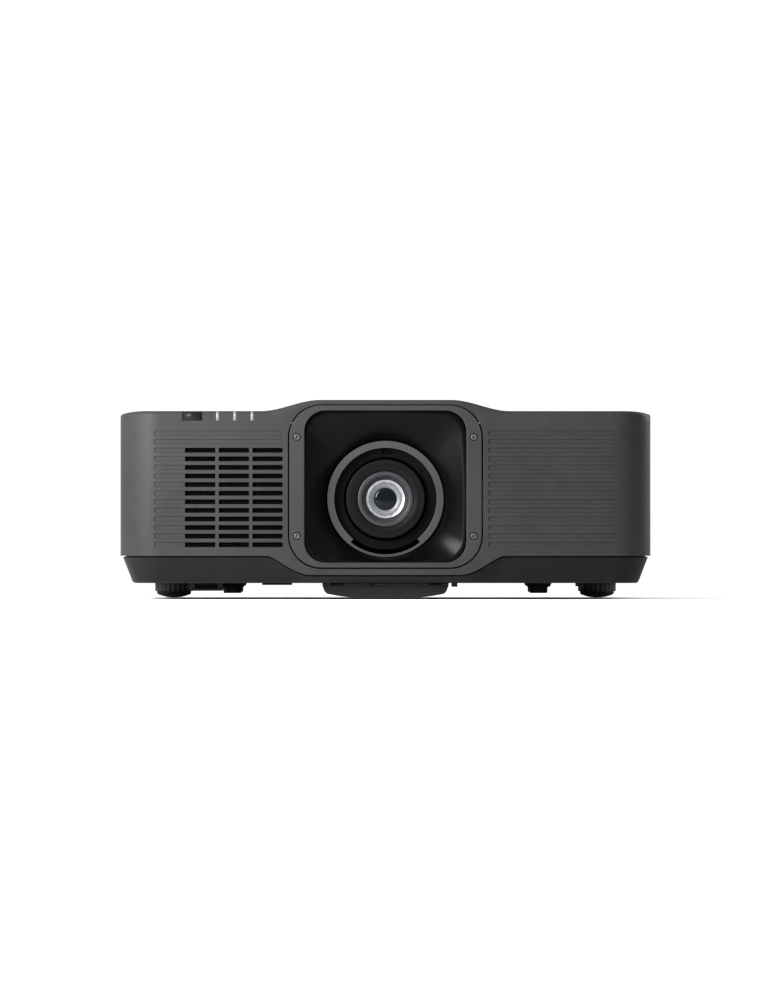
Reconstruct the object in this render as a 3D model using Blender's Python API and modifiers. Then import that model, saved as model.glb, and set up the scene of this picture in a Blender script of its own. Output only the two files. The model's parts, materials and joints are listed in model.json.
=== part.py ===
"""Installation-style home projector with an interchangeable lens, modelled piece by piece.

The origin is on the floor under the middle of the case, +Z is up and the lens looks along -Y.
"""

import math

import bmesh
import bpy
from mathutils import Matrix, Vector

# ---------------------------------------------------------------- driving sizes, metres
GAP = 0.0003                # running and seating clearance between pieces
BEYOND = 0.4                # well outside the case, for cuts that run right through
BITE = 0.001                # how far one primitive reaches into the next of the same piece

CASE_WIDTH = 0.530
CASE_DEPTH = 0.440
WALL = 0.003
FRONT_CORNER = 0.040
REAR_CORNER = 0.020
EDGE_RADIUS = 0.0055        # rounding along the top front and rear edges
TOP_HEIGHT = 0.1881
CROWN_RISE = 0.0111         # raised middle of the lid above the flat sides
CROWN_INNER = 0.066         # half width of the raised plateau
CROWN_OUTER = 0.124         # where its slope has died out
SHOULDER_WIDTH = 0.027
SHOULDER_DROP = 0.0050
LID_SEAM = 0.1783
FRONT_SEAM_DEPTH = 0.045    # how far the front cover wraps back

CASE_SEAM = 0.0428          # middle of the groove between the band and the tub
SEAM_WIDTH = 0.0020
SKIRT_DROP = 0.0190         # the front cover dips by this under the lens
SKIRT_INNER = 0.074
SKIRT_OUTER = 0.118
SKIRT_BIAS = 0.78
TUB_INSET = 0.0027
TUB_SLOPE = 0.383
TUB_BOTTOM = 0.0163
TUB_FLOOR = 0.0030
TUB_EDGE = 0.002            # rounding of the tub's bottom edge
TONGUE_RISE = 0.0050
APRON_HEIGHT = 0.0024       # lip of the tub that follows the dipping seam
APRON_REACH = 0.013
REAR_PANEL_WRAP = 0.005     # how far the rear panel reaches past the rear corners

LENS_HEIGHT = 0.1003
BEZEL_HALF = 0.0960
BEZEL_LOW = 0.0318
BEZEL_HIGH = 0.1938
BEZEL_CORNER = 0.032
BEZEL_GROOVE = 0.0017
BEZEL_THICKNESS = 0.0040
BEZEL_FRAME = 0.0152        # width of the bezel's face beside its opening
OPENING_LOW = 0.0368
OPENING_HIGH = 0.1885
OPENING_CORNER = 0.021
FUNNEL_DEPTH = 0.028
FUNNEL_RIM = 0.0022
LEDGE = 0.0020
LEDGE_OVERLAP = 0.0015
SCREW_IN = 0.0077           # from the bezel's side to its screws
SCREW_HIGH = 0.1621
SCREW_LOW = 0.0633
SCREW_HEAD = 0.0035
SCREW_SHANK = 0.0018
SCREW_SEAT = 0.0020         # depth of the recess under each head
SCREW_PLAY = 0.0008
SCREW_SOCKET = 0.0012

COLLAR_OUTER = 0.0582
COLLAR_FACE = 0.0071
RELIEF_RIM = 0.0029         # what the relief below leaves of the collar's face
COLLAR_RELIEF_ANGLE = math.radians(39)
COLLAR_DEPTH = 0.006
MOUNT_RING_PLAY = 0.0006
MOUNT_RING_FACE = 0.0085
MOUNT_RING_SETBACK = 0.0030
MOUNT_RING_REACH = 0.0349   # from the funnel's rear edge back to the sliding plates
KEY_NOTCH = (-0.0035, 0.0070)
KEY_NOTCH_LOW = 0.0445
KEY_NOTCH_DEPTH = 0.003
CARRIAGE_HALF = 0.058
CARRIAGE_TALL = 0.056
GUIDE_LAP = 0.003
BARREL_RADIUS = 0.0395
BARREL_BORE = 0.0280
BARREL_REAR = 0.0340
BARREL_SETBACK = 0.0045     # the barrel's face stands this far in front of the funnel's rear edge
BARREL_TAIL = 0.020         # how far the barrel reaches into the light engine
ZOOM_CELL_BORE = 0.0160
ZOOM_CELL_PLAY = 0.006
ZOOM_RING_WALL = 0.004
ZOOM_RING_LENGTH = 0.007
TRIM_RING_INNER = 0.0230
SILVER_RING_OUTER = 0.0194
SILVER_RING_INNER = 0.0160
PUPIL_RADIUS = 0.0109
SHIFT_VERTICAL = 0.005
SHIFT_HORIZONTAL = 0.003
SHIFT_MARGIN = 0.001

VENT_ROWS = 12
VENT_TOP = 0.1517
VENT_PITCH = 0.008573
VENT_SLOT = 0.0054
VENT_COLUMNS = ((-0.2004, -0.1695), (-0.1666, -0.1358), (-0.1330, -0.1022))

FAN_SIZE = 0.092
FAN_DEPTH = 0.025
FAN_BLADES = 7
FAN_HUB = 0.0175
FAN_WALL = 0.002
FAN_TIP_PLAY = 0.0015
FAN_RIB_HALF = 0.0015
FAN_RIB_DEPTH = 0.0025
FAN_SEAT_DEPTH = 0.0034
FAN_HUB_SETBACK = 0.006
BLADE_HALF = 0.0006
BLADE_REACH = 0.0085
BLADE_PITCH = math.radians(50)
SCREEN_THICKNESS = 0.001
SCREEN_MARGIN = 0.003

FOOT_HALF = 0.0635
FOOT_DEPTH = 0.044
FOOT_HEIGHT = 0.0150
FOOT_ARC = 0.315
FOOT_FLATS = 9              # an odd number, so that the foot stands on the middle one
FOOT_CHAMFER = 0.005
FOOT_TAPER = 0.0025
FOOT_WAIST = 0.0080
FOOT_SETBACK = 0.044        # from the case's front to the middle of the foot
FOOT_STEM_X = 0.050
FOOT_STEM = 0.012
FOOT_STEM_TOP = 0.062
GUIDE_WALL = 0.0025
GUIDE_HEIGHT = 0.018
ADJUSTER_X = 0.2155
ADJUSTER_Y = 0.170
KNOB_RADIUS = 0.0194
KNOB_HEIGHT = 0.0085
KNURLS = 24
KNURL_DEPTH = 0.0010
PAD_HEIGHT = 0.0060
PAD_LOW_RADIUS = 0.0150
PAD_HIGH_RADIUS = 0.0180
ADJUSTER_SCREW = 0.0040
ADJUSTER_LENGTH = 0.034
BOSS_X = 0.1535
BOSS_FRONT_Y = -0.120
BOSS_REAR_Y = 0.110
BOSS_RADIUS = 0.009
BOSS_END = 0.0059
BOSS_FLARE = 0.001

BAR_LEFT = -0.196           # security bar for a cable lock
BAR_RIGHT = -0.163
BAR_FRONT = -0.153
BAR_THICKNESS = 0.006
BAR_END = 0.0083
BAR_SIDE = 0.005
BAR_RAIL = 0.0025
DOOR_LEFT = -0.124          # service door under the case
DOOR_RIGHT = -0.094
DOOR_FRONT = -0.100
DOOR_REAR = -0.030
DOOR_THICKNESS = 0.0021

WINDOW_LEFT = -0.203
WINDOW_RIGHT = -0.183
WINDOW_DEPTH = 0.006
LIGHT_SLITS = (-0.1676, -0.1503, -0.1330)
LIGHT_WIDTH = 0.003
LIGHT_BAR_HEIGHT = 0.006
LIGHT_BAR_UNDER = 0.0048    # from the lid's inner face down to the bar behind the slits

DRAWER_FRONT = -0.100
DRAWER_REAR = 0.040
DRAWER_LOW = 0.062
DRAWER_HIGH = 0.152
DRAWER_DEPTH = 0.017
DRAWER_LIP = 0.0015
DRAWER_RIM = 0.004
DRAWER_SLOTS = 8
DRAWER_SIDE = 0.010

EXHAUST_FRONT = 0.060
EXHAUST_LOW = 0.050
EXHAUST_SLOTS = 9
EXHAUST_MARGIN = 0.004
LOUVRE_PITCH = 0.0095
LOUVRE_SLOT = 0.005

IO_LEFT = -0.200
IO_RIGHT = 0.060
IO_LOW = 0.078
IO_HIGH = 0.122
IO_LAP = 0.004
IO_THICKNESS = 0.0012
BLOCK_DEPTH = 0.014
BLOCK_FLOOR = 0.004
INLET_LEFT = 0.110
INLET_RIGHT = 0.158
INLET_LOW = 0.052
INLET_HIGH = 0.080
INLET_DEPTH = 0.024
INLET_SINK = 0.0005
SOCKET_DEPTH = 0.018
SOCKET_SIDE = 0.011
SOCKET_EDGE = 0.005
INLET_PINS = ((-0.007, -0.002), (0.0, 0.003), (0.007, -0.002))
PIN_HALF = 0.001
PIN_LENGTH = 0.014
ROCKER_LEFT = 0.175
ROCKER_RIGHT = 0.190
ROCKER_LOW = 0.053
ROCKER_HIGH = 0.079

ROCKER_PLAY = 0.0010
ROCKER_SINK = 0.0050
ROCKER_HEEL = 0.0045
ROCKER_TOE = 0.0018
ROCKER_DISH = 0.0004
PORTS = (                   # place across, height, width and height of each socket's opening
    (-0.190, 0.096, 0.015, 0.007), (-0.160, 0.096, 0.015, 0.007), (-0.130, 0.096, 0.013, 0.007),
    (-0.100, 0.093, 0.015, 0.013), (-0.060, 0.093, 0.015, 0.013), (-0.010, 0.094, 0.031, 0.010),
)

KEY_PROUD = 0.0010
KEY_RIM = 0.0008
KEY_RIM_HEIGHT = 0.0015
KEY_PAD_X = 0.170
KEY_PAD_Y = 0.130
KEY_STEP = 0.014
KEYS = (                    # name, place across, place along, half sizes
    ("power_key", KEY_PAD_X + 3 * KEY_STEP, KEY_PAD_Y, 0.0060, 0.0060),
    ("source_key", KEY_PAD_X + 2 * KEY_STEP, KEY_PAD_Y + KEY_STEP, 0.0055, 0.0035),
    ("menu_key", KEY_PAD_X + 2 * KEY_STEP, KEY_PAD_Y - KEY_STEP, 0.0055, 0.0035),
    ("enter_key", KEY_PAD_X, KEY_PAD_Y, 0.0055, 0.0055),
    ("up_key", KEY_PAD_X, KEY_PAD_Y + KEY_STEP, 0.0055, 0.0045),
    ("down_key", KEY_PAD_X, KEY_PAD_Y - KEY_STEP, 0.0055, 0.0045),
    ("left_key", KEY_PAD_X - KEY_STEP, KEY_PAD_Y, 0.0045, 0.0055),
    ("right_key", KEY_PAD_X + KEY_STEP, KEY_PAD_Y, 0.0045, 0.0055),
)

BUTTON_X = 0.0690
BUTTON_HALF = 0.0030
BUTTON_END = 0.0125
BUTTON_FLANGE = 0.001
BUTTON_TOP = 0.004
PLATE_THICKNESS = 0.004
BASE_HALF = 0.198
BASE_THICKNESS = 0.0015
BASE_SETBACK = 0.027
ENGINE_HALF = 0.075
ENGINE_LENGTH = 0.1202
ENGINE_TOP = 0.150
ENGINE_SHELL = 0.004
ENGINE_PORT = 0.010         # room around the lens where it enters the light engine
LASER_LENGTH = 0.080
LASER_TOP = 0.120
SINK_LENGTH = 0.090
SINK_TOP = 0.110
SINK_FINS = 12
SINK_BASE = 0.010
FIN_SHARE = 0.4             # part of a fin's pitch that is metal
WHEEL_RADIUS = 0.030
WHEEL_THICKNESS = 0.0015
WHEEL_OUT = 0.040           # from the light engine's side to the wheel's axis
WHEEL_FORWARD = 0.042       # from the light engine's rear to the wheel
WHEEL_HUB = 0.010
WHEEL_HUB_LENGTH = 0.004
MOTOR_RADIUS = 0.014
MOTOR_LENGTH = 0.0198
BRACKET_THICKNESS = 0.003
BRACKET_HALF = 0.018
BRACKET_FOOT = 0.028
SUPPLY_LEFT = 0.100
SUPPLY_FRONT = 0.000
SUPPLY_WIDTH = 0.090
SUPPLY_LENGTH = 0.150
SUPPLY_BOARD = 0.004
SUPPLY_BLOCKS = (           # place across and along on the board, width, length and height
    (0.006, 0.010, 0.030, 0.040, 0.037), (0.045, 0.010, 0.038, 0.070, 0.025),
)
CAPACITOR = (0.021, 0.085, 0.014, 0.034)    # place across and along, radius and height
BOARD_THICKNESS = 0.0016
BOARD_TOP = 0.150

HALF = CASE_WIDTH / 2
FRONT = -CASE_DEPTH / 2
REAR = CASE_DEPTH / 2
TUB_TOP = CASE_SEAM - SEAM_WIDTH / 2
BAND_BOTTOM = CASE_SEAM + SEAM_WIDTH / 2
FLOOR_TOP = TUB_BOTTOM + TUB_FLOOR
FRONT_SEAM = FRONT + FRONT_SEAM_DEPTH
BASE_TOP = FLOOR_TOP + GAP + BASE_THICKNESS
REAR_PANEL_FRONT = REAR - REAR_CORNER - REAR_PANEL_WRAP
LEDGE_FRONT = FRONT + BEZEL_THICKNESS + GAP
FUNNEL_REAR = FRONT + BEZEL_THICKNESS + FUNNEL_DEPTH
OPENING_HALF = BEZEL_HALF - BEZEL_FRAME
SCREW_SPREAD = BEZEL_HALF - SCREW_IN
COLLAR_INNER = COLLAR_OUTER - COLLAR_FACE
COLLAR_RELIEF = COLLAR_OUTER - RELIEF_RIM
MOUNT_RING_OUTER = COLLAR_INNER - MOUNT_RING_PLAY
MOUNT_RING_INNER = MOUNT_RING_OUTER - MOUNT_RING_FACE
CARRIAGE_FRONT = FUNNEL_REAR + MOUNT_RING_REACH
ENGINE_FRONT = CARRIAGE_FRONT + 3 * (PLATE_THICKNESS + GAP)
ENGINE_REAR = ENGINE_FRONT + ENGINE_LENGTH
LASER_REAR = ENGINE_REAR + LASER_LENGTH
SINK_REAR = LASER_REAR + SINK_LENGTH
FOOT_Y = FRONT + FOOT_SETBACK
WINDOW_LOW = LID_SEAM


# ---------------------------------------------------------------- scene and helpers
for old in list(bpy.data.objects):
    bpy.data.objects.remove(old)

PIECES = bpy.data.collections.new("home_projector")
CUTTERS = bpy.data.collections.new("cutters")
bpy.context.scene.collection.children.link(PIECES)
bpy.context.scene.collection.children.link(CUTTERS)


def material(name, colour, roughness, metallic=0.0):
    mat = bpy.data.materials.new(name)
    mat.use_nodes = True
    shader = mat.node_tree.nodes["Principled BSDF"]
    shader.inputs["Base Color"].default_value = (*colour, 1)
    shader.inputs["Roughness"].default_value = roughness
    shader.inputs["Metallic"].default_value = metallic
    mat.diffuse_color = (*colour, 1)
    return mat


FINISHES = {
    "cover": ((0.105, 0.105, 0.108), 0.45, 0.0),
    "tub": ((0.035, 0.035, 0.037), 0.6, 0.0),
    "gloss": ((0.008, 0.008, 0.009), 0.08, 0.0),
    "dark": ((0.018, 0.018, 0.020), 0.5, 0.0),
    "steel": ((0.45, 0.45, 0.46), 0.35, 1.0),
    "black_metal": ((0.03, 0.03, 0.032), 0.4, 0.6),
    "silver": ((0.65, 0.65, 0.66), 0.25, 1.0),
    "glass": ((0.02, 0.02, 0.035), 0.03, 0.0),
    "light": ((0.55, 0.56, 0.57), 0.4, 0.0),
    "board": ((0.02, 0.10, 0.05), 0.5, 0.0),
    "foam": ((0.03, 0.03, 0.03), 0.95, 0.0),
    "rubber": ((0.02, 0.02, 0.02), 0.85, 0.0),
}


def piece(name, bm, finish):
    """Turns a bmesh into a named piece with its own material."""
    bmesh.ops.recalc_face_normals(bm, faces=bm.faces)
    mesh = bpy.data.meshes.new(name)
    bm.to_mesh(mesh)
    bm.free()
    obj = bpy.data.objects.new(name, mesh)
    PIECES.objects.link(obj)
    mesh.materials.append(material(name, *FINISHES[finish]))
    return obj


def cutter(name, bm):
    """A shape that is only used by a Boolean modifier."""
    bmesh.ops.recalc_face_normals(bm, faces=bm.faces)
    mesh = bpy.data.meshes.new(name)
    bm.to_mesh(mesh)
    bm.free()
    obj = bpy.data.objects.new(name, mesh)
    CUTTERS.objects.link(obj)
    obj.hide_render = True
    obj.display_type = "WIRE"
    return obj


def boolean(obj, tool, operation="DIFFERENCE"):
    modifier = obj.modifiers.new(tool.name, "BOOLEAN")
    modifier.operation = operation
    modifier.object = tool
    modifier.solver = "EXACT"


def add_box(bm, low, high):
    """Adds a box between two corners."""
    made = bmesh.ops.create_cube(bm, size=1)
    size = [high[i] - low[i] for i in range(3)]
    middle = [(high[i] + low[i]) / 2 for i in range(3)]
    bmesh.ops.scale(bm, vec=size, verts=made["verts"])
    bmesh.ops.translate(bm, vec=middle, verts=made["verts"])
    return made["verts"]


AXIS_TURNS = {
    "Z": Matrix.Identity(3),
    "Y": Matrix.Rotation(math.radians(90), 3, "X"),
    "X": Matrix.Rotation(math.radians(90), 3, "Y"),
}


def add_rod(bm, centre, radius, length, axis="Z", segments=32, end_radius=None):
    """Adds a cylinder, or a cone, centred on a point; end_radius is at the +Z, -Y or +X end."""
    far = radius if end_radius is None else end_radius
    made = bmesh.ops.create_cone(bm, cap_ends=True, segments=segments,
                                 radius1=radius, radius2=far, depth=length)
    bmesh.ops.rotate(bm, cent=(0, 0, 0), matrix=AXIS_TURNS[axis], verts=made["verts"])
    bmesh.ops.translate(bm, vec=centre, verts=made["verts"])
    return made["verts"]


def box(name, low, high, finish):
    bm = bmesh.new()
    add_box(bm, low, high)
    return piece(name, bm, finish)


def box_tool(name, *corner_pairs):
    bm = bmesh.new()
    for low, high in corner_pairs:
        add_box(bm, low, high)
    return cutter(name, bm)


def rod(name, centre, radius, length, finish, axis="Z", segments=32, end_radius=None):
    bm = bmesh.new()
    add_rod(bm, centre, radius, length, axis, segments, end_radius)
    return piece(name, bm, finish)


def rod_tool(name, centre, radius, length, axis="Z", segments=32):
    bm = bmesh.new()
    add_rod(bm, centre, radius, length, axis, segments)
    return cutter(name, bm)


def fused(name, finish, *adders):
    """One solid joined from overlapping primitives by union."""
    bm = bmesh.new()
    adders[0](bm)
    obj = piece(name, bm, finish)
    for count, adder in enumerate(adders[1:]):
        tool = bmesh.new()
        adder(tool)
        boolean(obj, cutter(f"{name}_add_{count}", tool), "UNION")
    return obj


def prism(bm, points, low, high, axis):
    """Extrudes a flat outline, given across the axis, from low to high along it."""
    place = {
        "Y": lambda a, b: (a, low, b),
        "Z": lambda a, b: (a, b, low),
        "X": lambda a, b: (low, a, b),
    }[axis]
    face = bm.faces.new([bm.verts.new(place(a, b)) for a, b in points])
    grown = bmesh.ops.extrude_face_region(bm, geom=[face])
    step = Vector([high - low if axis == letter else 0 for letter in "XYZ"])
    moved = [item for item in grown["geom"] if isinstance(item, bmesh.types.BMVert)]
    bmesh.ops.translate(bm, vec=step, verts=moved)


def rounded_outline(left, right, low, high, radius, steps=6):
    """Corner-rounded rectangle as points, anticlockwise."""
    points = []
    corners = ((right - radius, low + radius, -90), (right - radius, high - radius, 0),
               (left + radius, high - radius, 90), (left + radius, low + radius, 180))
    for across, up, start in corners:
        for step in range(steps + 1):
            angle = math.radians(start + 90 * step / steps)
            points.append((across + radius * math.cos(angle), up + radius * math.sin(angle)))
    return points


def turned(name, profile, centre, finish, steps=48):
    """A closed profile of (radius, forward) points turned about the optical axis.

    The points run from the front along the outer side to the back and home along the bore.
    """
    mesh = bpy.data.meshes.new(name)
    bm = bmesh.new()
    verts = [bm.verts.new((radius, 0, forward)) for radius, forward in profile]
    on_axis = profile[0][0] == 0 and profile[-1][0] == 0
    for first, second in zip(verts, verts[1:]):
        bm.edges.new((first, second))
    if not on_axis:
        bm.edges.new((verts[-1], verts[0]))
    bm.to_mesh(mesh)
    bm.free()
    obj = bpy.data.objects.new(name, mesh)
    PIECES.objects.link(obj)
    mesh.materials.append(material(name, *FINISHES[finish]))
    obj.rotation_euler = (math.radians(90), 0, 0)
    obj.location = centre
    screw = obj.modifiers.new("turn", "SCREW")
    screw.steps = steps
    screw.render_steps = steps
    screw.use_merge_vertices = True
    screw.merge_threshold = 0.00001
    screw.use_normal_calculate = False
    return obj


def smoothstep(value):
    value = min(max(value, 0.0), 1.0)
    return value * value * (3 - 2 * value)


# ---------------------------------------------------------------- case surfaces
def lid_height(across):
    """Height of the lid over a place across the case, without the edge rounding."""
    distance = abs(across)
    crown = smoothstep((CROWN_OUTER - distance) / (CROWN_OUTER - CROWN_INNER))
    past = min(max((distance - HALF + SHOULDER_WIDTH) / SHOULDER_WIDTH, 0.0), 1.0)
    return TOP_HEIGHT + CROWN_RISE * crown - SHOULDER_DROP * (1 - math.sqrt(1 - past * past))


def seam_height(across):
    """Height of the middle of the front seam groove, which dips under the lens."""
    share = (SKIRT_OUTER - abs(across)) / (SKIRT_OUTER - SKIRT_INNER)
    return CASE_SEAM - SKIRT_DROP * smoothstep(max(share, 0.0) ** SKIRT_BIAS)


def corner_setback(across, half, radius):
    """How far a rounded plan corner falls back at a place across the case."""
    past = abs(across) - (half - radius)
    if past <= 0:
        return 0.0
    return radius - math.sqrt(max(radius * radius - past * past, 0.0))


def case_stations(inset):
    """Places across the case where its lengthways section changes."""
    half = HALF - inset
    right = {CROWN_INNER + (CROWN_OUTER - CROWN_INNER) * step / 6 for step in range(7)}
    for corner in (FRONT_CORNER, REAR_CORNER):
        radius = corner - inset
        right |= {round(half - radius + radius * math.sin(math.radians(15 * step)), 7)
                  for step in range(7)}
    right = sorted(right)
    return [-place for place in reversed(right)] + right


def case_section(across, inset, bottom):
    """Front-to-rear outline of the case at one place across it."""
    half = HALF - inset
    front = FRONT + inset + corner_setback(across, half, FRONT_CORNER - inset)
    rear = REAR - inset - corner_setback(across, half, REAR_CORNER - inset)
    top = lid_height(min(max(across, -HALF), HALF)) - inset
    arc = [math.radians(90 * step / 3) for step in range(4)]
    points = [(front, bottom)]
    points += [(front + EDGE_RADIUS * (1 - math.cos(turn)),
                top - EDGE_RADIUS * (1 - math.sin(turn))) for turn in arc]
    points += [(rear - EDGE_RADIUS * (1 - math.cos(turn)),
                top - EDGE_RADIUS * (1 - math.sin(turn))) for turn in reversed(arc)]
    return points + [(rear, bottom)]


def case_loft(bm, inset, bottom):
    """Lofts the case solid through its sections, left to right."""
    rings = []
    for across in case_stations(inset):
        section = case_section(across, inset, bottom)
        rings.append([bm.verts.new((across, along, up)) for along, up in section])
    count = len(rings[0])
    for left, right in zip(rings, rings[1:]):
        for index in range(count):
            after = (index + 1) % count
            bm.faces.new((left[index], left[after], right[after], right[index]))
    bm.faces.new(list(reversed(rings[0])))
    bm.faces.new(rings[-1])


def skirt_profile(clearance):
    """Outline of the front cover's face: the dipping seam below, and far above the lid."""
    right = [SKIRT_INNER + (SKIRT_OUTER - SKIRT_INNER) * step / 8 for step in range(9)]
    places = [-place for place in reversed(right)] + right
    outline = [(-HALF - 0.02, CASE_SEAM + clearance)]
    outline += [(place, seam_height(place) + clearance) for place in places]
    outline += [(HALF + 0.02, CASE_SEAM + clearance)]
    return outline + [(HALF + 0.02, CASE_DEPTH), (-HALF - 0.02, CASE_DEPTH)]


def case_cover(name, finish="cover"):
    """A hollow copy of the whole case, to be cut down to one cover."""
    bm = bmesh.new()
    case_loft(bm, 0, TUB_BOTTOM)
    cover = piece(name, bm, finish)
    inner = bmesh.new()
    case_loft(inner, WALL, TUB_BOTTOM - 0.01)
    boolean(cover, cutter(f"{name}_hollow", inner))
    return cover


def build_top_cover():
    cover = case_cover("top_cover")
    boolean(cover, box_tool("lid_region", ((-BEYOND, FRONT_SEAM + GAP, LID_SEAM),
                                           (BEYOND, BEYOND, BEYOND))), "INTERSECT")
    boolean(cover, box_tool("key_holes", *[
        ((x - half_x - GAP, y - half_y - GAP, LID_SEAM), (x + half_x + GAP, y + half_y + GAP, BEYOND))
        for _, x, y, half_x, half_y in KEYS]))
    return cover


def bezel_outline(grow, steps=6):
    return rounded_outline(-BEZEL_HALF - grow, BEZEL_HALF + grow, BEZEL_LOW - grow,
                           BEZEL_HIGH + grow, BEZEL_CORNER + grow, steps)


def opening_outline(grow, steps=6):
    return rounded_outline(-OPENING_HALF - grow, OPENING_HALF + grow, OPENING_LOW - grow,
                           OPENING_HIGH + grow, OPENING_CORNER + grow, steps)


def build_front_cover():
    cover = case_cover("front_cover")
    region = bmesh.new()
    prism(region, skirt_profile(SEAM_WIDTH / 2), -BEYOND, FRONT_SEAM, "Y")
    boolean(cover, cutter("front_region", region), "INTERSECT")
    ledge = bmesh.new()
    prism(ledge, bezel_outline(BEZEL_GROOVE + LEDGE_OVERLAP), FRONT + WALL / 2, LEDGE_FRONT + LEDGE, "Y")
    boolean(cover, cutter("bezel_ledge", ledge), "UNION")
    pocket = bmesh.new()
    prism(pocket, bezel_outline(BEZEL_GROOVE), -BEYOND, LEDGE_FRONT, "Y")
    boolean(cover, cutter("bezel_pocket", pocket))
    opening = bmesh.new()
    prism(opening, opening_outline(FUNNEL_RIM + GAP), -BEYOND, LEDGE_FRONT + LEDGE + BITE, "Y")
    boolean(cover, cutter("bezel_opening", opening))
    for name, x, z in bezel_screws():
        boolean(cover, rod_tool(f"{name}_thread", (x, LEDGE_FRONT, z), SCREW_SHANK + GAP,
                                4 * LEDGE, "Y", 12))
    slots = []
    for row in range(VENT_ROWS):
        high = VENT_TOP - VENT_PITCH * row
        for left, right in VENT_COLUMNS:
            slots.append(((left, -BEYOND, high - VENT_SLOT), (right, FRONT + 2 * WALL, high)))
    boolean(cover, box_tool("vent_slots", *slots))
    behind = FRONT + WINDOW_DEPTH + GAP
    slits = [((WINDOW_LEFT - GAP, -BEYOND, WINDOW_LOW - GAP), (WINDOW_RIGHT + GAP, behind, BEYOND))]
    half = LIGHT_WIDTH / 2 + GAP
    for x in LIGHT_SLITS:
        slits.append(((x - half, -BEYOND, WINDOW_LOW - GAP), (x + half, behind, BEYOND)))
    boolean(cover, box_tool("front_windows", *slits))
    return cover


def side_region(name, side):
    low_x, high_x = sorted((side * HALF / 2, side * BEYOND))
    return box_tool(name, ((low_x, FRONT_SEAM + GAP, BAND_BOTTOM),
                           (high_x, REAR_PANEL_FRONT - GAP, LID_SEAM - GAP)))


def build_side_covers():
    left = case_cover("left_side_cover")
    boolean(left, side_region("left_region", -1), "INTERSECT")
    boolean(left, box_tool("drawer_hole", (
        (-BEYOND, DRAWER_FRONT - GAP, DRAWER_LOW - GAP),
        (-HALF / 2, DRAWER_REAR + GAP, DRAWER_HIGH + GAP))))
    right = case_cover("right_side_cover")
    boolean(right, side_region("right_region", 1), "INTERSECT")
    spare = FAN_SIZE - (EXHAUST_SLOTS - 1) * LOUVRE_PITCH - LOUVRE_SLOT
    slots = []
    for row in range(EXHAUST_SLOTS):
        low = EXHAUST_LOW + spare / 2 + row * LOUVRE_PITCH
        slots.append(((HALF / 2, EXHAUST_FRONT + EXHAUST_MARGIN, low),
                      (BEYOND, EXHAUST_FRONT + FAN_SIZE - EXHAUST_MARGIN, low + LOUVRE_SLOT)))
    boolean(right, box_tool("exhaust_slots", *slots))
    return left, right


def build_rear_panel():
    panel = case_cover("rear_panel")
    boolean(panel, box_tool("rear_region", ((-BEYOND, REAR_PANEL_FRONT, BAND_BOTTOM),
                                            (BEYOND, BEYOND, LID_SEAM - GAP))), "INTERSECT")
    inside = REAR - 2 * WALL
    boolean(panel, box_tool(
        "rear_holes",
        ((IO_LEFT, inside, IO_LOW), (IO_RIGHT, BEYOND, IO_HIGH)),
        ((INLET_LEFT - GAP, inside, INLET_LOW - GAP), (INLET_RIGHT + GAP, BEYOND, INLET_HIGH + GAP)),
        ((ROCKER_LEFT - GAP, inside, ROCKER_LOW - GAP), (ROCKER_RIGHT + GAP, BEYOND, ROCKER_HIGH + GAP))))
    return panel


def tub_outline(inset):
    """Plan outline of the tub, smaller all round by the inset."""
    points = []
    corners = ((1, -1, FRONT_CORNER, -90), (1, 1, REAR_CORNER, 0),
               (-1, 1, REAR_CORNER, 90), (-1, -1, FRONT_CORNER, 180))
    for side, end, corner, start in corners:
        radius = max(corner - inset, 0.004)
        centre_x = side * (HALF - inset - radius)
        centre_y = end * (REAR - inset - radius)
        for step in range(7):
            turn = math.radians(start + 15 * step)
            points.append((centre_x + radius * math.cos(turn), centre_y + radius * math.sin(turn)))
    return points


def tub_loft(bm, levels):
    """Stacks plan outlines, given as (inset, height) pairs, into a closed solid."""
    rings = [[bm.verts.new((x, y, height)) for x, y in tub_outline(inset)] for inset, height in levels]
    count = len(rings[0])
    for lower, upper in zip(rings, rings[1:]):
        for index in range(count):
            after = (index + 1) % count
            bm.faces.new((lower[index], lower[after], upper[after], upper[index]))
    bm.faces.new(list(reversed(rings[0])))
    bm.faces.new(rings[-1])


def tub_inset(height):
    """Inset of the tub's sloping side at a height."""
    return TUB_INSET + TUB_SLOPE * (TUB_TOP - height)


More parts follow.
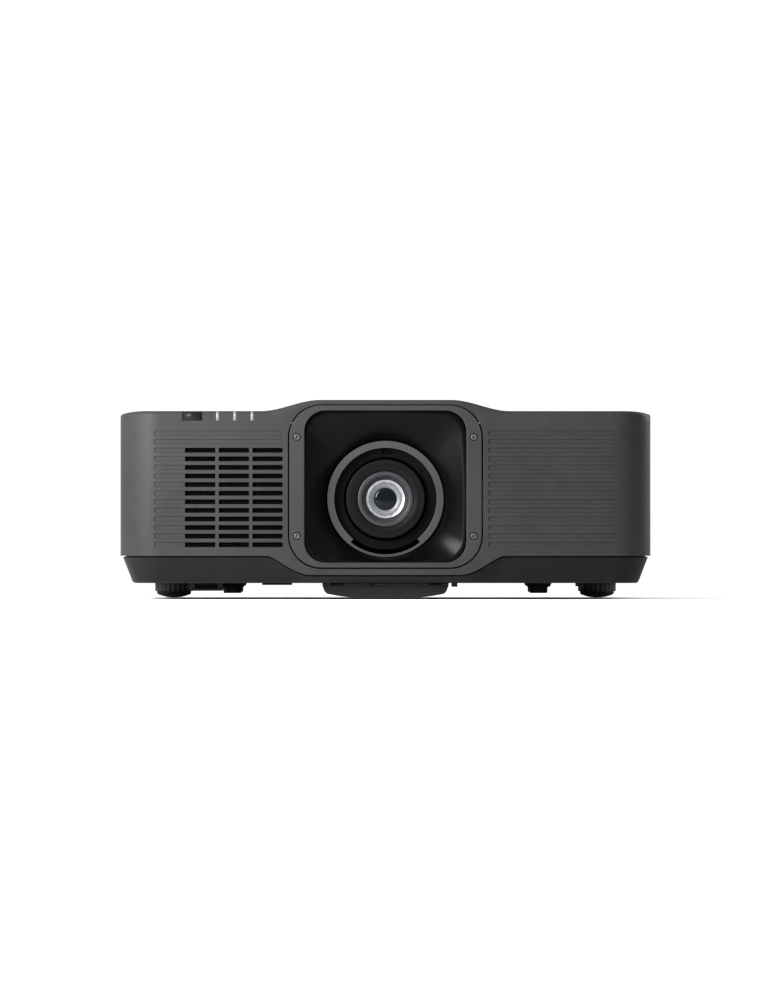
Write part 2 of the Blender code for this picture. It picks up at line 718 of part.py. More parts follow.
def build_bottom_case():
    bm = bmesh.new()
    low_inset = tub_inset(TUB_BOTTOM)
    edge_top = TUB_BOTTOM + TUB_EDGE
    tub_loft(bm, ((low_inset + TUB_EDGE, TUB_BOTTOM), (tub_inset(edge_top), edge_top),
                  (TUB_INSET, TUB_TOP), (WALL + GAP, TUB_TOP), (WALL + GAP, BAND_BOTTOM + TONGUE_RISE)))
    tub = piece("bottom_case", bm, "tub")
    hollow = bmesh.new()
    tub_loft(hollow, ((tub_inset(FLOOR_TOP) + WALL, FLOOR_TOP), (TUB_INSET + WALL, TUB_TOP),
                      (TUB_INSET + WALL, LENS_HEIGHT)))
    boolean(tub, cutter("tub_hollow", hollow))
    edge = [point for point in skirt_profile(-SEAM_WIDTH / 2) if abs(point[0]) <= SKIRT_OUTER]
    skirt = bmesh.new()
    prism(skirt, edge + [(SKIRT_OUTER, LENS_HEIGHT), (-SKIRT_OUTER, LENS_HEIGHT)], -BEYOND,
          FRONT + FUNNEL_DEPTH + LEDGE, "Y")
    boolean(tub, cutter("skirt_room", skirt))
    apron = bmesh.new()
    underside = [(x, z - APRON_HEIGHT) for x, z in reversed(edge)]
    prism(apron, edge + underside, FRONT + TUB_INSET, FRONT + APRON_REACH, "Y")
    boolean(tub, cutter("tub_apron", apron), "UNION")
    root = FLOOR_TOP - BITE
    for number, (side, along) in enumerate(((-1, BOSS_FRONT_Y), (1, BOSS_FRONT_Y),
                                            (-1, BOSS_REAR_Y), (1, BOSS_REAR_Y))):
        boss = bmesh.new()
        add_rod(boss, (side * BOSS_X, along, (BOSS_END + root) / 2), BOSS_RADIUS, root - BOSS_END,
                segments=20, end_radius=BOSS_RADIUS + BOSS_FLARE)
        boolean(tub, cutter(f"mount_boss_{number}", boss), "UNION")
    holes = bmesh.new()
    for side in (-1, 1):
        add_rod(holes, (side * ADJUSTER_X, ADJUSTER_Y, TUB_BOTTOM), ADJUSTER_SCREW + GAP,
                4 * TUB_FLOOR, segments=16)
        stem = FOOT_STEM / 2 + GAP
        add_box(holes, (side * FOOT_STEM_X - stem, FOOT_Y - stem, 0),
                (side * FOOT_STEM_X + stem, FOOT_Y + stem, TUB_TOP))
    half = BUTTON_HALF + GAP
    add_box(holes, (BUTTON_X - half, FOOT_Y - half, 0), (BUTTON_X + half, FOOT_Y + half, TUB_TOP))
    boolean(tub, cutter("tub_holes", holes))
    return tub


def build_bezel():
    bm = bmesh.new()
    prism(bm, bezel_outline(0, 8), FRONT, FRONT + BEZEL_THICKNESS, "Y")
    bezel = piece("lens_bezel", bm, "cover")
    opening = bmesh.new()
    prism(opening, opening_outline(0, 8), -BEYOND, LEDGE_FRONT, "Y")
    boolean(bezel, cutter("bezel_window", opening))
    for name, x, z in bezel_screws():
        boolean(bezel, rod_tool(f"{name}_hole", (x, FRONT, z), SCREW_SHANK + GAP,
                                4 * BEZEL_THICKNESS, "Y", 12))
        boolean(bezel, rod_tool(f"{name}_sink", (x, FRONT, z), SCREW_HEAD + SCREW_PLAY,
                                2 * SCREW_SEAT, "Y", 20))
    return bezel


def bezel_screws():
    places = ((-1, SCREW_HIGH), (1, SCREW_HIGH), (-1, SCREW_LOW), (1, SCREW_LOW))
    return [(f"bezel_screw_{number}", side * SCREW_SPREAD, height)
            for number, (side, height) in enumerate(places, 1)]


def build_bezel_screws():
    seat = FRONT + SCREW_SEAT - GAP
    start = seat - BITE / 2
    end = LEDGE_FRONT + LEDGE
    for name, x, z in bezel_screws():
        screw = fused(
            name, "black_metal",
            lambda bm, x=x, z=z: add_rod(bm, (x, (FRONT + seat) / 2, z), SCREW_HEAD,
                                         seat - FRONT, "Y", 20, SCREW_HEAD * 0.8),
            lambda bm, x=x, z=z: add_rod(bm, (x, (start + end) / 2, z), SCREW_SHANK,
                                         end - start, "Y", 12))
        boolean(screw, rod_tool(f"{name}_socket", (x, FRONT, z), SCREW_SOCKET, SCREW_SEAT, "Y", 6))


def rounded_window_point(angle, half, low, high, radius):
    """Where a ray from the middle of the window meets its rounded outline."""
    middle = (low + high) / 2
    tall = (high - low) / 2
    inner, outer = 0.0, half + tall
    for _ in range(40):
        reach = (inner + outer) / 2
        across = max(abs(reach * math.cos(angle)) - half + radius, 0.0)
        up = max(abs(reach * math.sin(angle)) - tall + radius, 0.0)
        outside = math.hypot(across, up) > radius
        if outside or abs(reach * math.cos(angle)) > half or abs(reach * math.sin(angle)) > tall:
            outer = reach
        else:
            inner = reach
    return inner * math.cos(angle), middle + inner * math.sin(angle)


def build_funnel():
    """The glossy hood that narrows from the bezel's window to the round collar."""
    count = 64
    front = FRONT + BEZEL_THICKNESS + GAP
    throat = COLLAR_OUTER + GAP
    rings = []
    bm = bmesh.new()
    for grow, blend, along in ((FUNNEL_RIM, 0, front), (0.0010, 0.72, front + 0.55 * FUNNEL_DEPTH),
                               (0.0014, 1, FUNNEL_REAR), (0, 1, FUNNEL_REAR),
                               (-0.0006, 0.72, front + 0.55 * FUNNEL_DEPTH - 0.001), (0, 0, front)):
        ring = []
        for step in range(count):
            angle = 2 * math.pi * (step + 0.5) / count
            x, z = rounded_window_point(angle, OPENING_HALF + grow, OPENING_LOW - grow,
                                        OPENING_HIGH + grow, OPENING_CORNER + grow)
            round_x = (throat + grow) * math.cos(angle)
            round_z = LENS_HEIGHT + (throat + grow) * math.sin(angle)
            ring.append(bm.verts.new((x + (round_x - x) * blend, along, z + (round_z - z) * blend)))
        rings.append(ring)
    for first, second in zip(rings, rings[1:] + rings[:1]):
        for index in range(count):
            after = (index + 1) % count
            bm.faces.new((first[index], first[after], second[after], second[index]))
    return piece("lens_funnel", bm, "gloss")


def build_collar():
    front = FUNNEL_REAR - COLLAR_DEPTH + 0.0005
    bm = bmesh.new()
    add_rod(bm, (0, front + COLLAR_DEPTH / 2, LENS_HEIGHT), COLLAR_OUTER, COLLAR_DEPTH, "Y", 48)
    collar = piece("lens_collar", bm, "cover")
    boolean(collar, rod_tool("collar_bore", (0, front, LENS_HEIGHT), COLLAR_INNER,
                             4 * COLLAR_DEPTH, "Y", 48))
    relief = bmesh.new()
    sector = []
    for step in range(9):
        angle = -math.pi / 2 - COLLAR_RELIEF_ANGLE + 2 * COLLAR_RELIEF_ANGLE * step / 8
        sector.append((COLLAR_RELIEF * math.cos(angle), LENS_HEIGHT + COLLAR_RELIEF * math.sin(angle)))
    prism(relief, sector + [(0, LENS_HEIGHT)], front - BITE, front + COLLAR_DEPTH + BITE, "Y")
    boolean(collar, cutter("collar_relief", relief))
    return collar


# ---------------------------------------------------------------- lens and its shift stage
def plate(name, half_x, low, high, front, bore, finish):
    """A square guide plate across the optical axis with a round opening."""
    obj = box(name, (-half_x, front, low), (half_x, front + PLATE_THICKNESS, high), finish)
    boolean(obj, rod_tool(f"{name}_bore", (0, front, LENS_HEIGHT), bore, 4 * PLATE_THICKNESS, "Y", 48))
    return obj


def build_lens_stage():
    step = PLATE_THICKNESS + GAP
    horizontal = plate("horizontal_carriage", CARRIAGE_HALF, LENS_HEIGHT - CARRIAGE_TALL,
                       LENS_HEIGHT + CARRIAGE_TALL, CARRIAGE_FRONT, BARREL_RADIUS + GAP, "black_metal")
    ring_front = FUNNEL_REAR + MOUNT_RING_SETBACK
    ring = bmesh.new()
    length = CARRIAGE_FRONT + BITE - ring_front
    add_rod(ring, (0, ring_front + length / 2, LENS_HEIGHT), MOUNT_RING_OUTER, length, "Y", 48)
    boolean(horizontal, cutter("mount_ring", ring), "UNION")
    boolean(horizontal, rod_tool("mount_bore", (0, ring_front, LENS_HEIGHT), MOUNT_RING_INNER,
                                 2 * (length - PLATE_THICKNESS), "Y", 48))
    boolean(horizontal, rod_tool("barrel_bore", (0, ring_front, LENS_HEIGHT), BARREL_RADIUS + GAP,
                                 2 * (length + PLATE_THICKNESS), "Y", 48))
    boolean(horizontal, box_tool("key_notch", (
        (KEY_NOTCH[0], -BEYOND, LENS_HEIGHT + KEY_NOTCH_LOW),
        (KEY_NOTCH[1], ring_front + KEY_NOTCH_DEPTH, LENS_HEIGHT + MOUNT_RING_OUTER + BITE))))
    half = CARRIAGE_HALF + SHIFT_HORIZONTAL + GUIDE_LAP
    tall = CARRIAGE_TALL + SHIFT_MARGIN + BITE
    plate("vertical_carriage", half, LENS_HEIGHT - tall, LENS_HEIGHT + tall,
          CARRIAGE_FRONT + step, BARREL_RADIUS + SHIFT_HORIZONTAL + SHIFT_MARGIN, "steel")
    plate("lens_shift_base", half + 2 * GUIDE_LAP, BASE_TOP + GAP,
          LENS_HEIGHT + tall + SHIFT_VERTICAL + SHIFT_MARGIN + GUIDE_LAP, CARRIAGE_FRONT + 2 * step,
          BARREL_RADIUS + SHIFT_VERTICAL + SHIFT_MARGIN, "black_metal")


def lens_piece(name, profile, finish, steps=48):
    """Turns (radius, distance along Y) points about the lens axis."""
    points = [(radius, -along) for radius, along in profile]
    return turned(name, points, (0, 0, LENS_HEIGHT), finish, steps)


def build_lens():
    front = FUNNEL_REAR - BARREL_SETBACK
    rear = ENGINE_FRONT + BARREL_TAIL
    step = CARRIAGE_FRONT + PLATE_THICKNESS
    lens_piece("lens_barrel", (
        (BARREL_BORE, front + 0.0004), (BARREL_RADIUS - 0.001, front), (BARREL_RADIUS, front + 0.001),
        (BARREL_RADIUS, step), (BARREL_REAR, step), (BARREL_REAR, rear), (BARREL_BORE, rear)),
        "black_metal", 64)
    radius = BARREL_BORE - GAP
    back = ENGINE_FRONT - 0.012
    lens_piece("focus_barrel", (
        (TRIM_RING_INNER, front + 0.0012), (TRIM_RING_INNER + 0.001, front + 0.0005),
        (radius, front + 0.0010), (radius, back), (SILVER_RING_OUTER - 0.001, back),
        (SILVER_RING_OUTER - 0.001, front + 0.014), (SILVER_RING_OUTER + GAP, front + 0.0137),
        (SILVER_RING_OUTER + GAP, front + 0.006)), "black_metal")
    lens_piece("silver_ring", (
        (SILVER_RING_OUTER - GAP, front + 0.0065), (SILVER_RING_OUTER, front + 0.0069),
        (SILVER_RING_OUTER, front + 0.0134), (PUPIL_RADIUS + GAP, front + 0.0134),
        (PUPIL_RADIUS + GAP, front + 0.0105), (SILVER_RING_INNER, front + 0.0100)), "silver")
    lens_piece("front_lens_element", (
        (0, front + 0.0096), (0.0040, front + 0.0098), (0.0080, front + 0.0105),
        (PUPIL_RADIUS, front + 0.0115), (PUPIL_RADIUS, front + 0.0150), (0, front + 0.0150)),
        "glass", 32)
    cell_front = back + ZOOM_CELL_PLAY
    cell_rear = rear - ZOOM_CELL_PLAY
    lens_piece("zoom_cell", (
        (ZOOM_CELL_BORE, cell_front), (radius, cell_front), (radius, cell_rear),
        (ZOOM_CELL_BORE, cell_rear)), "black_metal", 32)
    ring_inner = BARREL_REAR + GAP
    ring_outer = BARREL_REAR + ZOOM_RING_WALL
    ring_rear = rear - BITE
    lens_piece("zoom_ring", (
        (ring_inner, ring_rear - ZOOM_RING_LENGTH), (ring_outer, ring_rear - ZOOM_RING_LENGTH),
        (ring_outer, ring_rear), (ring_inner, ring_rear)), "dark", 32)


# ---------------------------------------------------------------- fans, screen and windows
def fan(name, middle, axis, side):
    """A square frame with a spoked motor seat, and a bladed rotor, about an X or Y axis.

    The rotor faces the frame's open side, which is -Y, or +X with side 1.
    """
    half = FAN_SIZE / 2
    deep = FAN_DEPTH / 2
    along = 1 if axis == "Y" else 0
    back = 1 if axis == "Y" else -side

    def place(forward, across, up):
        spot = list(middle)
        spot[along] += forward
        spot[1 - along] += across
        spot[2] += up
        return spot

    frame = box(f"{name}_frame", place(-deep, -half, -half), place(deep, half, half), "dark")
    boolean(frame, rod_tool(f"{name}_duct", middle, half - FAN_WALL, 2 * FAN_DEPTH, axis, 40))
    for number in range(2):
        rib = bmesh.new()
        low = place(back * (deep - FAN_RIB_DEPTH), BITE - half, -FAN_RIB_HALF)
        high = place(back * (deep - BITE / 5), half - BITE, FAN_RIB_HALF)
        verts = add_box(rib, [min(a, b) for a, b in zip(low, high)],
                        [max(a, b) for a, b in zip(low, high)])
        bmesh.ops.rotate(rib, cent=middle, verts=verts,
                         matrix=Matrix.Rotation(math.radians(45 + 90 * number), 3, axis))
        boolean(frame, cutter(f"{name}_rib_{number}", rib), "UNION")
    seat = place(back * (deep - BITE / 5 - FAN_SEAT_DEPTH / 2), 0, 0)
    boolean(frame, rod_tool(f"{name}_seat", seat, FAN_HUB + BITE / 2, FAN_SEAT_DEPTH, axis, 28), "UNION")

    seat_front = deep - BITE / 5 - FAN_SEAT_DEPTH
    depth = FAN_DEPTH - FAN_HUB_SETBACK
    hub = rod(f"{name}_rotor", (0, 0, 0), FAN_HUB, depth, "dark", axis, 28)
    hub.location = place(back * (seat_front - GAP - depth / 2), 0, 0)
    tip = half - FAN_WALL - FAN_TIP_PLAY
    for number in range(FAN_BLADES):
        blade = bmesh.new()
        verts = add_box(blade, (-BLADE_HALF, -BLADE_REACH, FAN_HUB - 0.0025), (BLADE_HALF, BLADE_REACH, tip))
        bmesh.ops.rotate(blade, cent=(0, 0, 0), verts=verts, matrix=Matrix.Rotation(
            BLADE_PITCH if axis == "Y" else BLADE_PITCH - math.pi / 2, 3, "Z"))
        bmesh.ops.rotate(blade, cent=(0, 0, 0), verts=verts, matrix=Matrix.Rotation(
            math.radians(360 * number / FAN_BLADES), 3, axis))
        tool = cutter(f"{name}_blade_{number}", blade)
        tool.location = hub.location
        boolean(hub, tool, "UNION")
    return frame, hub


def build_air_path():
    vent_left = VENT_COLUMNS[0][0]
    vent_right = VENT_COLUMNS[-1][1]
    vent_middle = (vent_left + vent_right) / 2
    vent_low = VENT_TOP - VENT_PITCH * (VENT_ROWS - 1) - VENT_SLOT
    height = (VENT_TOP + vent_low) / 2
    screen_front = FRONT + WALL + GAP
    screen_rear = screen_front + SCREEN_THICKNESS
    box("vent_screen", (vent_left - SCREEN_MARGIN, screen_front, vent_low - SCREEN_MARGIN),
        (vent_right + BITE, screen_rear, VENT_TOP + SCREEN_MARGIN), "foam")
    fan("intake_fan", (vent_middle, screen_rear + GAP + FAN_DEPTH / 2, height), "Y", 1)
    half = FAN_SIZE / 2
    exhaust = (HALF - WALL - GAP - FAN_DEPTH / 2, EXHAUST_FRONT + half, EXHAUST_LOW + half)
    fan("exhaust_fan", exhaust, "X", 1)


def build_front_windows():
    """The remote receiver's window and the status light guide follow the case's outer surface."""
    window = box("remote_window", (WINDOW_LEFT, FRONT, WINDOW_LOW),
                 (WINDOW_RIGHT, FRONT + WINDOW_DEPTH, BEYOND), "gloss")
    outer = bmesh.new()
    case_loft(outer, 0, TUB_BOTTOM)
    skin = cutter("case_skin", outer)
    boolean(window, skin, "INTERSECT")
    half = LIGHT_WIDTH / 2
    bar_high = TOP_HEIGHT - WALL - LIGHT_BAR_UNDER
    joiner = ((LIGHT_SLITS[0] - half, FRONT + WALL + GAP, bar_high - LIGHT_BAR_HEIGHT),
              (LIGHT_SLITS[-1] + half, FRONT + WINDOW_DEPTH, bar_high))
    behind = FRONT + WINDOW_DEPTH - BITE / 5
    guide = fused("status_light_guide", "light", lambda bm: add_box(bm, *joiner), *[
        lambda bm, x=x: add_box(bm, (x - half, FRONT, WINDOW_LOW), (x + half, behind, BEYOND))
        for x in LIGHT_SLITS])
    boolean(guide, skin, "INTERSECT")


# ---------------------------------------------------------------- feet, bar and hatch
def build_front_foot():
    bm = bmesh.new()
    edge = FOOT_HALF - FOOT_CHAMFER
    flat = edge / FOOT_FLATS
    outline = []
    for step in range(FOOT_FLATS + 1):
        across = -edge + 2 * flat * step
        rise = math.sqrt(FOOT_ARC ** 2 - flat ** 2) - math.sqrt(FOOT_ARC ** 2 - across ** 2)
        outline.append((across, rise))
    waist = FOOT_HALF - FOOT_TAPER
    outline += [(waist, FOOT_WAIST), (FOOT_HALF, FOOT_HEIGHT)]
    outline += [(-across, up) for across, up in reversed(outline[-2:])]
    prism(bm, outline, FOOT_Y - FOOT_DEPTH / 2, FOOT_Y + FOOT_DEPTH / 2, "Y")
    foot = piece("front_foot", bm, "rubber")
    half = FOOT_STEM / 2
    for side in (-1, 1):
        stem = box_tool(f"stem_{side}", (
            (side * FOOT_STEM_X - half, FOOT_Y - half, FOOT_HEIGHT - 2 * BITE),
            (side * FOOT_STEM_X + half, FOOT_Y + half, FOOT_STEM_TOP)))
        boolean(foot, stem, "UNION")
    clear = half + GAP
    reach = clear + GUIDE_WALL
    guide = box("foot_guide", (-FOOT_STEM_X - reach, FOOT_Y - reach, FLOOR_TOP + GAP),
                (FOOT_STEM_X + reach, FOOT_Y + reach, FLOOR_TOP + GUIDE_HEIGHT), "dark")
    holes = [((side * FOOT_STEM_X - clear, FOOT_Y - clear, 0),
              (side * FOOT_STEM_X + clear, FOOT_Y + clear, BEYOND)) for side in (-1, 1)]
    boolean(guide, box_tool("guide_holes", *holes))


def build_release_button():
    """A square plunger through the tub's floor, kept in by a flange above it."""
    half = BUTTON_HALF
    wide = half + BUTTON_FLANGE
    fused("foot_release_button", "tub",
          lambda bm: add_box(bm, (BUTTON_X - half, FOOT_Y - half, BUTTON_END),
                             (BUTTON_X + half, FOOT_Y + half, FLOOR_TOP + BUTTON_TOP / 2)),
          lambda bm: add_box(bm, (BUTTON_X - wide, FOOT_Y - wide, FLOOR_TOP + GAP),
                             (BUTTON_X + wide, FOOT_Y + wide, FLOOR_TOP + BUTTON_TOP)))


def build_adjusters():
    for side, label in ((-1, "left"), (1, "right")):
        x = side * ADJUSTER_X
        pad = rod(f"{label}_foot_pad", (0, 0, PAD_HEIGHT / 2), PAD_LOW_RADIUS, PAD_HEIGHT, "rubber",
                  segments=24, end_radius=PAD_HIGH_RADIUS)
        pad.location = (x, ADJUSTER_Y, 0)
        low = PAD_HEIGHT + GAP
        bm = bmesh.new()
        outline = []
        for step in range(2 * KNURLS):
            radius = KNOB_RADIUS - KNURL_DEPTH * (step % 2)
            angle = math.pi * step / KNURLS
            outline.append((radius * math.cos(angle), radius * math.sin(angle)))
        prism(bm, outline, low, low + KNOB_HEIGHT, "Z")
        knob = piece(f"{label}_foot_knob", bm, "tub")
        stud = bmesh.new()
        add_rod(stud, (0, 0, low + KNOB_HEIGHT - 2 * BITE + ADJUSTER_LENGTH / 2), ADJUSTER_SCREW,
                ADJUSTER_LENGTH, segments=16)
        tool = cutter(f"{label}_stud", stud)
        tool.location = (x, ADJUSTER_Y, 0)
        knob.location = (x, ADJUSTER_Y, 0)
        boolean(knob, tool, "UNION")


def build_underside():
    top = TUB_BOTTOM - GAP
    bar = box("security_bar", (BAR_LEFT, BAR_FRONT, BAR_END),
              (BAR_RIGHT, BAR_FRONT + BAR_THICKNESS, top), "steel")
    boolean(bar, box_tool("bar_loop", ((BAR_LEFT + BAR_SIDE, -BEYOND, BAR_END + BAR_RAIL),
                                       (BAR_RIGHT - BAR_SIDE, BEYOND, BEYOND))))
    box("service_door", (DOOR_LEFT, DOOR_FRONT, top - DOOR_THICKNESS), (DOOR_RIGHT, DOOR_REAR, top), "tub")


# ---------------------------------------------------------------- inside the case
def shell_box(name, low, high, finish):
    """A box with an even wall that is open below."""
    obj = box(name, low, high, finish)
    boolean(obj, box_tool(f"{name}_cavity", (
        (low[0] + ENGINE_SHELL, low[1] + ENGINE_SHELL, 0),
        (high[0] - ENGINE_SHELL, high[1] - ENGINE_SHELL, high[2] - ENGINE_SHELL))))
    return obj


def build_engine():
    seat = BASE_TOP + GAP
    box("base_plate", (-BASE_HALF, CARRIAGE_FRONT, FLOOR_TOP + GAP),
        (BASE_HALF, REAR - BASE_SETBACK, BASE_TOP), "steel")
    housing = shell_box("light_engine_housing", (-ENGINE_HALF, ENGINE_FRONT, seat),
                        (ENGINE_HALF, ENGINE_REAR, ENGINE_TOP), "black_metal")
    boolean(housing, rod_tool("engine_bore", (0, ENGINE_FRONT, LENS_HEIGHT), BARREL_REAR + ENGINE_PORT,
                              4 * ENGINE_SHELL, "Y", 40))
    shell_box("laser_module", (-ENGINE_HALF, ENGINE_REAR + GAP, seat), (ENGINE_HALF, LASER_REAR, LASER_TOP),
              "steel")
    sink = bmesh.new()
    pitch = 2 * ENGINE_HALF / SINK_FINS
    outline = [(-ENGINE_HALF, seat), (ENGINE_HALF, seat)]
    for number in range(SINK_FINS):
        right = ENGINE_HALF - pitch * number
        left = right - pitch * FIN_SHARE
        outline += [(right, SINK_TOP), (left, SINK_TOP)]
        if number < SINK_FINS - 1:
            outline += [(left, seat + SINK_BASE), (right - pitch, seat + SINK_BASE)]
    outline.append((-ENGINE_HALF, SINK_TOP))
    prism(sink, outline, LASER_REAR + GAP, SINK_REAR, "Y")
    piece("heat_sink", sink, "steel")


def build_wheel():
    """The phosphor wheel and its motor, which stands on a bracket beside the light engine."""
    seat = BASE_TOP + GAP
    x = ENGINE_HALF + WHEEL_OUT
    y = ENGINE_REAR - WHEEL_FORWARD
    wheel = fused("phosphor_wheel", "silver",
                  lambda bm: add_rod(bm, (0, 0, 0), WHEEL_RADIUS, WHEEL_THICKNESS, "Y", 40),
                  lambda bm: add_rod(bm, (x, y, LENS_HEIGHT), WHEEL_HUB, WHEEL_HUB_LENGTH, "Y", 24))
    wheel.location = (x, y, LENS_HEIGHT)
    front = y + WHEEL_HUB_LENGTH / 2 + GAP
    post = front + BRACKET_THICKNESS
    middle = front + MOTOR_LENGTH / 2
    fused("wheel_motor", "steel",
          lambda bm: add_rod(bm, (x, middle, LENS_HEIGHT), MOTOR_RADIUS, MOTOR_LENGTH, "Y", 28),
          lambda bm: add_box(bm, (x - WHEEL_HUB, post, seat + BITE),
                             (x + WHEEL_HUB, post + BRACKET_THICKNESS, LENS_HEIGHT)),
          lambda bm: add_box(bm, (x - BRACKET_HALF, post, seat),
                             (x + BRACKET_HALF, post + BRACKET_FOOT, seat + BRACKET_THICKNESS)))


def build_power_supply():
    left, front = SUPPLY_LEFT, SUPPLY_FRONT
    seat = BASE_TOP + GAP
    low = seat + SUPPLY_BOARD - BITE
    fused("power_supply", "board",
          lambda bm: add_box(bm, (left, front, seat),
                             (left + SUPPLY_WIDTH, front + SUPPLY_LENGTH, seat + SUPPLY_BOARD)),
          *[lambda bm, block=block: add_box(
              bm, (left + block[0], front + block[1], low),
              (left + block[0] + block[2], front + block[1] + block[3], low + block[4]))
            for block in SUPPLY_BLOCKS],
          lambda bm: add_rod(bm, (left + CAPACITOR[0], front + CAPACITOR[1], low + CAPACITOR[3] / 2),
                             CAPACITOR[2], CAPACITOR[3], "Z", 20))


def build_sockets():
    """The connector plate, the block of sockets behind it and the board that carries the block."""
    back = REAR - WALL - GAP
    plate_front = back - IO_THICKNESS
    io_plate = box("io_plate", (IO_LEFT - IO_LAP, plate_front, IO_LOW - IO_LAP),
                   (IO_RIGHT + IO_LAP, back, IO_HIGH + IO_LAP), "black_metal")
    block_rear = plate_front - GAP
    block_front = block_rear - BLOCK_DEPTH
    block = box("connector_block", (IO_LEFT, block_front, IO_LOW + IO_LAP),
                (IO_RIGHT, block_rear, IO_HIGH - IO_LAP), "dark")
    floor = block_front + BLOCK_FLOOR
    cavities = [((x, floor, z), (x + wide, BEYOND, z + tall)) for x, z, wide, tall in PORTS]
    boolean(io_plate, box_tool("port_holes", *cavities))
    boolean(block, box_tool("port_cavities", *cavities))
    board_rear = block_front - GAP
    box("main_board", (IO_LEFT - 1.5 * IO_LAP, board_rear - BOARD_THICKNESS, BASE_TOP + GAP),
        (IO_RIGHT + 5 * IO_LAP, board_rear, BOARD_TOP), "board")


def build_inlet():
    """The mains socket, open to the rear, with three pins."""
    inlet = box("ac_inlet", (INLET_LEFT, REAR - INLET_DEPTH, INLET_LOW),
                (INLET_RIGHT, REAR - INLET_SINK, INLET_HIGH), "dark")
    floor = REAR - SOCKET_DEPTH
    boolean(inlet, box_tool("inlet_socket", (
        (INLET_LEFT + SOCKET_SIDE, floor, INLET_LOW + SOCKET_EDGE),
        (INLET_RIGHT - SOCKET_SIDE, BEYOND, INLET_HIGH - SOCKET_EDGE))))
    middle_x = (INLET_LEFT + INLET_RIGHT) / 2
    middle_z = (INLET_LOW + INLET_HIGH) / 2
    for number, (across, up) in enumerate(INLET_PINS):
        x = middle_x + across
        z = middle_z + up
        boolean(inlet, box_tool(f"inlet_pin_{number}", (
            (x - PIN_HALF, floor - BITE, z - 2 * PIN_HALF),
            (x + PIN_HALF, floor + PIN_LENGTH, z + 2 * PIN_HALF))), "UNION")


def build_rocker():
    middle = (ROCKER_LOW + ROCKER_HIGH) / 2
    half = (ROCKER_HIGH - ROCKER_LOW) / 2 - ROCKER_PLAY
    wide = (ROCKER_RIGHT - ROCKER_LEFT) / 2
    outline = [(-ROCKER_SINK, -half * 0.6), (ROCKER_HEEL, -half), (ROCKER_TOE + ROCKER_DISH, 0),
               (ROCKER_TOE, half), (-ROCKER_SINK, half * 0.6)]
    bm = bmesh.new()
    prism(bm, outline, -wide, wide, "X")
    rocker = piece("power_rocker", bm, "dark")
    rocker.location = ((ROCKER_LEFT + ROCKER_RIGHT) / 2, REAR - ROCKER_SINK, middle)


def build_filter_drawer():
    outer = -HALF
    drawer = fused(
        "filter_drawer", "cover",
        lambda bm: add_box(bm, (outer, DRAWER_FRONT, DRAWER_LOW), (outer + WALL, DRAWER_REAR, DRAWER_HIGH)),
        lambda bm: add_box(bm, (outer + WALL - BITE, DRAWER_FRONT + DRAWER_LIP, DRAWER_LOW + DRAWER_LIP),
                           (outer + DRAWER_DEPTH, DRAWER_REAR - DRAWER_LIP, DRAWER_HIGH - DRAWER_LIP)))
    rim = DRAWER_RIM
    boolean(drawer, box_tool("media_space", (
        (outer + WALL, DRAWER_FRONT + rim, DRAWER_LOW + rim),
        (outer + 2 * DRAWER_DEPTH, DRAWER_REAR - rim, DRAWER_HIGH - rim))))
    spare = DRAWER_HIGH - DRAWER_LOW - (DRAWER_SLOTS - 1) * LOUVRE_PITCH - LOUVRE_SLOT
    slots = []
    for row in range(DRAWER_SLOTS):
        low = DRAWER_LOW + spare / 2 + row * LOUVRE_PITCH
        slots.append(((-BEYOND, DRAWER_FRONT + DRAWER_SIDE, low),
                      (outer + 2 * WALL, DRAWER_REAR - DRAWER_SIDE, low + LOUVRE_SLOT)))
    boolean(drawer, box_tool("drawer_slots", *slots))
    rim += GAP
    box("filter_media", (outer + WALL + GAP, DRAWER_FRONT + rim, DRAWER_LOW + rim),
        (outer + DRAWER_DEPTH - BITE, DRAWER_REAR - rim, DRAWER_HIGH - rim), "foam")


def build_keys():
    """Push keys that stand through the lid, each kept in by a rim below it."""
    lid_under = TOP_HEIGHT - WALL
    root = lid_under - BITE
    for name, x, y, half_x, half_y in KEYS:
        fused(name, "dark",
              lambda bm, a=x, b=y, c=half_x, d=half_y: add_box(
                  bm, (a - c, b - d, root), (a + c, b + d, TOP_HEIGHT + KEY_PROUD)),
              lambda bm, a=x, b=y, c=half_x + KEY_RIM, d=half_y + KEY_RIM: add_box(
                  bm, (a - c, b - d, lid_under - GAP - KEY_RIM_HEIGHT), (a + c, b + d, lid_under - GAP)))


build_top_cover()
build_front_cover()
build_side_covers()
build_rear_panel()
build_bottom_case()
build_bezel()
build_bezel_screws()
build_funnel()
build_collar()
build_lens_stage()
build_lens()
build_air_path()
build_front_windows()
build_front_foot()
build_release_button()
build_adjusters()
build_underside()
build_engine()
build_wheel()
build_power_supply()
build_sockets()
build_inlet()
build_rocker()
build_filter_drawer()
build_keys()
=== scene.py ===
"""Finish of the wide charcoal projector: moulded covers, glossy lens hood, lens, feet, sockets and studio."""

import json
import math

import bmesh
import bpy
from mathutils import Matrix, Vector

